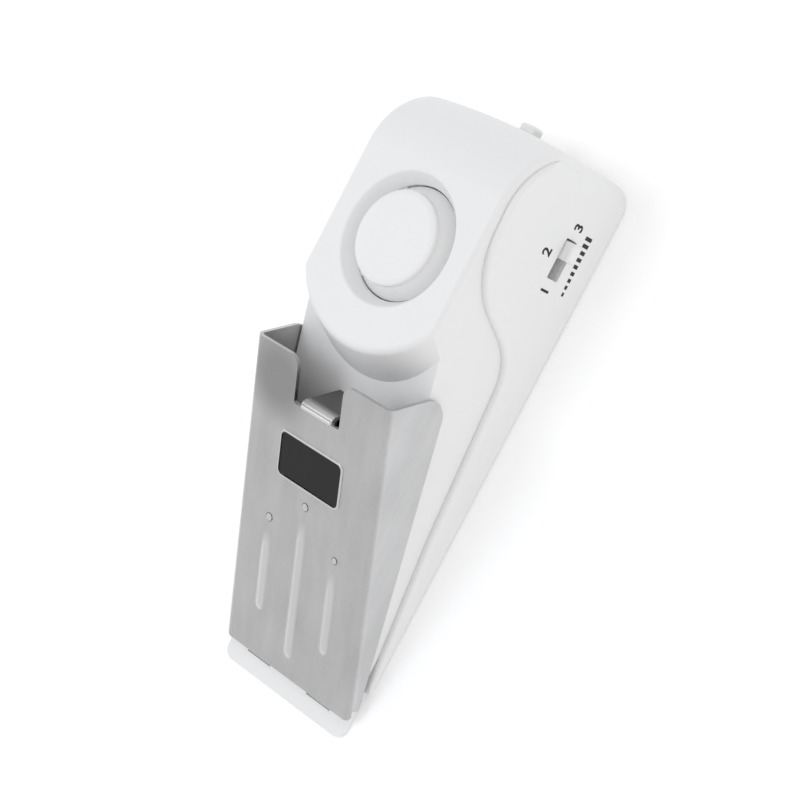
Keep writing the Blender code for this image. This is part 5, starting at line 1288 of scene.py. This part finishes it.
class ALARM_OT_switches(Operator):
    """Knobs of the two slide switches, and the marks printed beside them"""
    bl_idname = "alarm.switches"
    bl_label = "Switches"

    def knob(self, s, facing, point):
        """Rounded knob with a tongue, built along +X and turned to face out of its wall."""
        thing = add_primitive(bpy.ops.mesh.primitive_cube_add, size=1.0)
        sunk = 0.0031  # from the wall's face in to the back of the knob
        for corner in thing.data.vertices:
            corner.co.x = s.knob_proud if corner.co.x > 0 else -sunk
            corner.co.y = math.copysign(s.knob_length / 2, corner.co.y)
            corner.co.z = math.copysign(s.knob_height / 2, corner.co.z)
        round_edges(thing, lambda a, b: a.x > 0 and b.x > 0, s.knob_round, 8)
        corner, shoulder, tongue = 0.00035, 0.0009, 0.0014
        round_edges(thing, lambda a, b: abs(a.x - b.x) > sunk, corner, 4)
        pick(thing, "FACE", lambda face: face.normal.x < -0.9)
        bpy.ops.mesh.inset(thickness=shoulder)
        bpy.ops.mesh.extrude_region_move(TRANSFORM_OT_translate={"value": (-tongue, 0, 0)})
        leave()
        face_out(thing)
        return bake_place(thing, Matrix.Translation(point) @ Matrix.Rotation(facing, 4, "Z"))

    def digit(self, text, place, height, facing=0.0):
        """One printed digit on an upright wall, turned about Z to face out of it."""
        thing = add_primitive(bpy.ops.object.text_add)
        thing.data.body = text
        thing.data.size = height * 1.38     # the font's digits are 1 / 1.38 of its size
        thing.data.offset = height * 0.035  # bolder strokes
        thing.data.extrude = PRINT
        thing.data.resolution_u = 6
        thing.data.align_x = "CENTER"
        thing.data.align_y = "CENTER"
        bpy.ops.object.convert(target="MESH")
        thing = bpy.context.active_object
        turn = Matrix.Rotation(facing, 4, "Z") @ Matrix.Rotation(math.radians(90), 4, "X")
        return bake_place(thing, Matrix.Translation(place) @ turn)

    def marks(self, s, h):
        """Digits 1 to 3 round the side slot with a rising scale, and 0 and 1 by the rear one."""
        wall = -h.half
        prints = [self.digit(text, (x, wall, z), s.digit) for text, x, z in SIDE_DIGITS]
        for text, across in REAR_DIGITS:
            x = h.rear - h.bow * (across / h.half) ** 2
            prints.append(self.digit(text, (x, across, s.slot_z), s.digit, math.pi / 2))
        start, end, foot = 0.0417, 0.0566, 0.0062
        least, rise = 0.0005, 0.0019
        pitch = (end - start) / s.bars
        wide = 0.55 * pitch
        for index in range(s.bars):
            x = start + pitch * index
            prints.append(block("bar", x, x + wide, wall - PRINT, wall + PRINT, foot,
                                foot + least + rise * (index + 1) / s.bars))
        return prints

    def execute(self, context):
        scene = context.scene
        h, s = scene.alarm_housing, scene.alarm_switches
        places = {"sensitivity": ("side_knob", -math.pi / 2, (s.side_x + s.step, -h.half, s.slot_z)),
                  "power": ("rear_knob", 0, (h.rear, s.step, s.slot_z))}
        for name, (body, facing, point) in places.items():
            settle(self.knob(s, facing, point), f"{name}_knob_moulding", body, glossy_abs(),
                   [f"{name}_knob"])
        prints = self.marks(s, h)
        only(prints[0])
        for thing in prints:
            thing.select_set(True)
        bpy.ops.object.join()
        settle(bpy.context.active_object, "sensitivity_marks", "base", pad_ink())
        return {"FINISHED"}


class ALARM_OT_underside(Operator):
    """Battery cover, rubber pads and housing screws"""
    bl_idname = "alarm.underside"
    bl_label = "Underside"

    def execute(self, context):
        broken, soft = 0.00012, 0.0002  # bevels of the cover's edges and of a pad's
        cover = soften(from_node("battery_cover", "cover"), broken)
        bow_rear(cover, context.scene.alarm_housing)
        settle(cover, "battery_cover_moulding", "cover", satin_abs(),
               ["battery_cover"])
        rubber = moulded_rubber()
        for number in (1, 2, 3):
            node = f"grip_pad_{number}"
            settle(soften(from_node(node, "pad"), soft, 3), f"{node}_rubber", "base", rubber,
                   [node])
        self.screws(plated_metal("zinc_plated_screw", "#8E9094", "#B9BBBF", 0.30))
        return {"FINISHED"}

    def screws(self, zinc):
        """One pan-head screw with a crossed recess, copied to its four places."""
        radius, thick, brim = 0.0020, 0.0013, 0.0006
        shank, bite, point = 0.0011, 0.0050, 0.0004
        tip = HEAD_TOP + bite
        low = HEAD_TOP - thick
        x, y = HOUSING_SCREWS[0]
        section = rounded([(0, low, 0), (radius, low, brim), (radius, HEAD_TOP, 0),
                           (shank, HEAD_TOP, 0), (shank, tip, point), (0, tip, 0)], 6)
        first = lathe("screw", section, (x, y), 48)
        reach, arm, deep = 0.0011, 0.00028, 0.0006
        for dx, dy in ((reach, arm), (arm, reach)):
            cut(first, block("cross", x - dx, x + dx, y - dy, y + dy, low - OVER, low + deep))
        for number, place in enumerate(HOUSING_SCREWS, 1):
            node = f"housing_screw_{number}"
            screw = twin(first, "screw_copy")
            bake_place(screw, Matrix.Translation((place[0] - x, place[1] - y, 0)))
            settle(screw, f"{node}_plated", "base", zinc, [node])
        bpy.data.objects.remove(first, do_unlink=True)


class ALARM_OT_works(Operator):
    """Materials of the works inside, which keep their CAD shapes"""
    bl_idname = "alarm.works"
    bl_label = "Works"

    def execute(self, context):
        dark = coloured_plastic("dark_moulded_nylon", "#242427", 0.5)
        zinc = plated_metal("zinc_plated_steel", "#8E9094", "#BFC1C5", 0.32)
        sleeve = coloured_plastic("shrunk_can_sleeve", "#26324A", 0.4)
        white_wire = coloured_plastic("white_extruded_pvc", "#DFDFDC", 0.4)
        bands = banded_resistor()
        finishes = {
            "circuit_board": solder_mask(),
            "alarm_chip": coloured_plastic("epoxy_moulded_chip", "#1B1B1D", 0.55),
            "transistor": coloured_plastic("epoxy_moulded_transistor", "#202022", 0.5),
            "boost_coil": wound_copper(),
            "siren_chamber": coloured_plastic("white_moulded_chamber", "#E6E6E4", 0.45),
            "piezo_disc": plated_metal("stamped_brass_disc", "#A98747", "#D2B169", 0.28),
            "piezo_ceramic": fired_ceramic(),
            "trigger_switch": dark,
            "battery_snap": dark,
            "vibration_sensor": plated_metal("tinned_steel_can", "#9A9CA0", "#C9CBCE", 0.36),
            "sensitivity_switch": zinc,
            "power_switch": zinc,
            "red_lead": coloured_plastic("red_extruded_pvc", "#B3201C", 0.4),
            "black_lead": coloured_plastic("black_extruded_pvc", "#1D1D1F", 0.4),
        }
        rows = (("capacitor", 2, sleeve), ("snap_stud", 2, zinc), ("siren_lead", 2, white_wire),
                ("siren_screw", 2, zinc), ("resistor", 3, bands), ("board_screw", 4, zinc))
        for name, count, material in rows:
            for number in range(1, count + 1):
                finishes[f"{name}_{number}"] = material
        for node, material in finishes.items():
            coat(node, material)
        return {"FINISHED"}


class ALARM_OT_stage(Operator):
    """Pale floor, soft studio light and the camera"""
    bl_idname = "alarm.stage"
    bl_label = "Stage"

    def floor(self):
        thing = add_primitive(bpy.ops.mesh.primitive_plane_add, size=3.0)
        thing.name = "studio_floor"
        thing.data.materials.append(pale_paper())

    def light(self, name, place, target, size, power, tone=(1.0, 1.0, 1.0)):
        """Round area light that looks at a target."""
        thing = add_primitive(bpy.ops.object.light_add, type="AREA", location=place)
        thing.name = name
        thing.data.shape = "DISK"
        thing.data.size = size
        thing.data.energy = power
        thing.data.color = tone
        aim = (Vector(target) - Vector(place)).to_track_quat("-Z", "Y")
        thing.rotation_euler = aim.to_euler()

    def surround(self, strength):
        """Even white surround, like a light tent."""
        world = bpy.data.worlds.new("studio_surround")
        bpy.context.scene.world = world
        world.use_nodes = True
        fill(world.node_tree.nodes["Background"], {"Strength": strength,
                                                   "Color": (1.0, 1.0, 1.0, 1.0)})

    def camera(self, focal):
        """Camera fitted to the photograph's view: its place, and its own three directions."""
        data = bpy.data.cameras.new("photo_camera")
        data.sensor_width = 36.0
        data.lens = focal
        data.clip_start = 0.01
        data.clip_end = 10.0
        thing = bpy.data.objects.new("photo_camera", data)
        bpy.context.scene.collection.objects.link(thing)
        right = Vector((0.46053012, -0.66723779, -0.58541074))
        down = Vector((-0.88517960, -0.39432802, -0.24690582))
        ahead = Vector((-0.06609896, 0.63190121, -0.77222522))
        turn = Matrix((right, -down, -ahead)).transposed().to_4x4()
        thing.matrix_world = Matrix.Translation((0.0373164, -0.3148535, 0.3969810)) @ turn
        bpy.context.scene.camera = thing

    def execute(self, context):
        scene = context.scene
        stage = scene.alarm_stage
        self.floor()
        self.light("key_light", (-0.08, 0.34, 1.10), (0, 0, 0.02), 0.5, stage.key,
                   (0.86, 0.90, 1.0))
        for name, across, share in (("far_light", 0.95, 1.0), ("near_light", -0.90, 0.8)):
            self.light(name, (-0.10, across, 0.50), (0.03, 0, 0.03), 0.4, stage.side * share)
        self.surround(stage.sky)
        self.camera(stage.focal)
        scene.view_settings.view_transform = "Standard"
        return {"FINISHED"}


class ALARM_PT_pieces(Panel):
    """Lists the alarm's pieces and their sizes"""
    bl_idname = "ALARM_PT_pieces"
    bl_label = "Door-stop alarm"
    bl_space_type = "VIEW_3D"
    bl_region_type = "UI"
    bl_category = "Alarm"

    def draw(self, context):
        for name, (attribute, _) in GROUPS.items():
            box = self.layout.box()
            box.label(text=name)
            group = getattr(context.scene, attribute)
            for key in group.__annotations__:
                box.prop(group, key)
        for operator in PIECES:
            self.layout.operator(operator.bl_idname)


GROUPS = {
    "Housing": ("alarm_housing", HousingSizes),
    "Siren": ("alarm_siren", SirenSizes),
    "Plate": ("alarm_plate", PlateSizes),
    "Switches": ("alarm_switches", SwitchSizes),
    "Finishes": ("alarm_finishes", Finishes),
    "Stage": ("alarm_stage", StageSettings),
}
PIECES = (ALARM_OT_upper_housing, ALARM_OT_lower_housing, ALARM_OT_siren,
          ALARM_OT_pressure_plate, ALARM_OT_plunger, ALARM_OT_switches, ALARM_OT_underside,
          ALARM_OT_works, ALARM_OT_stage)


def register():
    for _, group in GROUPS.values():
        bpy.utils.register_class(group)
    for attribute, group in GROUPS.values():
        setattr(bpy.types.Scene, attribute, PointerProperty(type=group))
    for operator in PIECES:
        bpy.utils.register_class(operator)
    bpy.utils.register_class(ALARM_PT_pieces)


def unregister():
    bpy.utils.unregister_class(ALARM_PT_pieces)
    for operator in reversed(PIECES):
        bpy.utils.unregister_class(operator)
    for attribute, group in reversed(list(GROUPS.values())):
        delattr(bpy.types.Scene, attribute)
        bpy.utils.unregister_class(group)


def main():
    register()
    for operator in PIECES:
        group, name = operator.bl_idname.split(".")
        getattr(getattr(bpy.ops, group), name)()


if __name__ == "__main__":
    main()
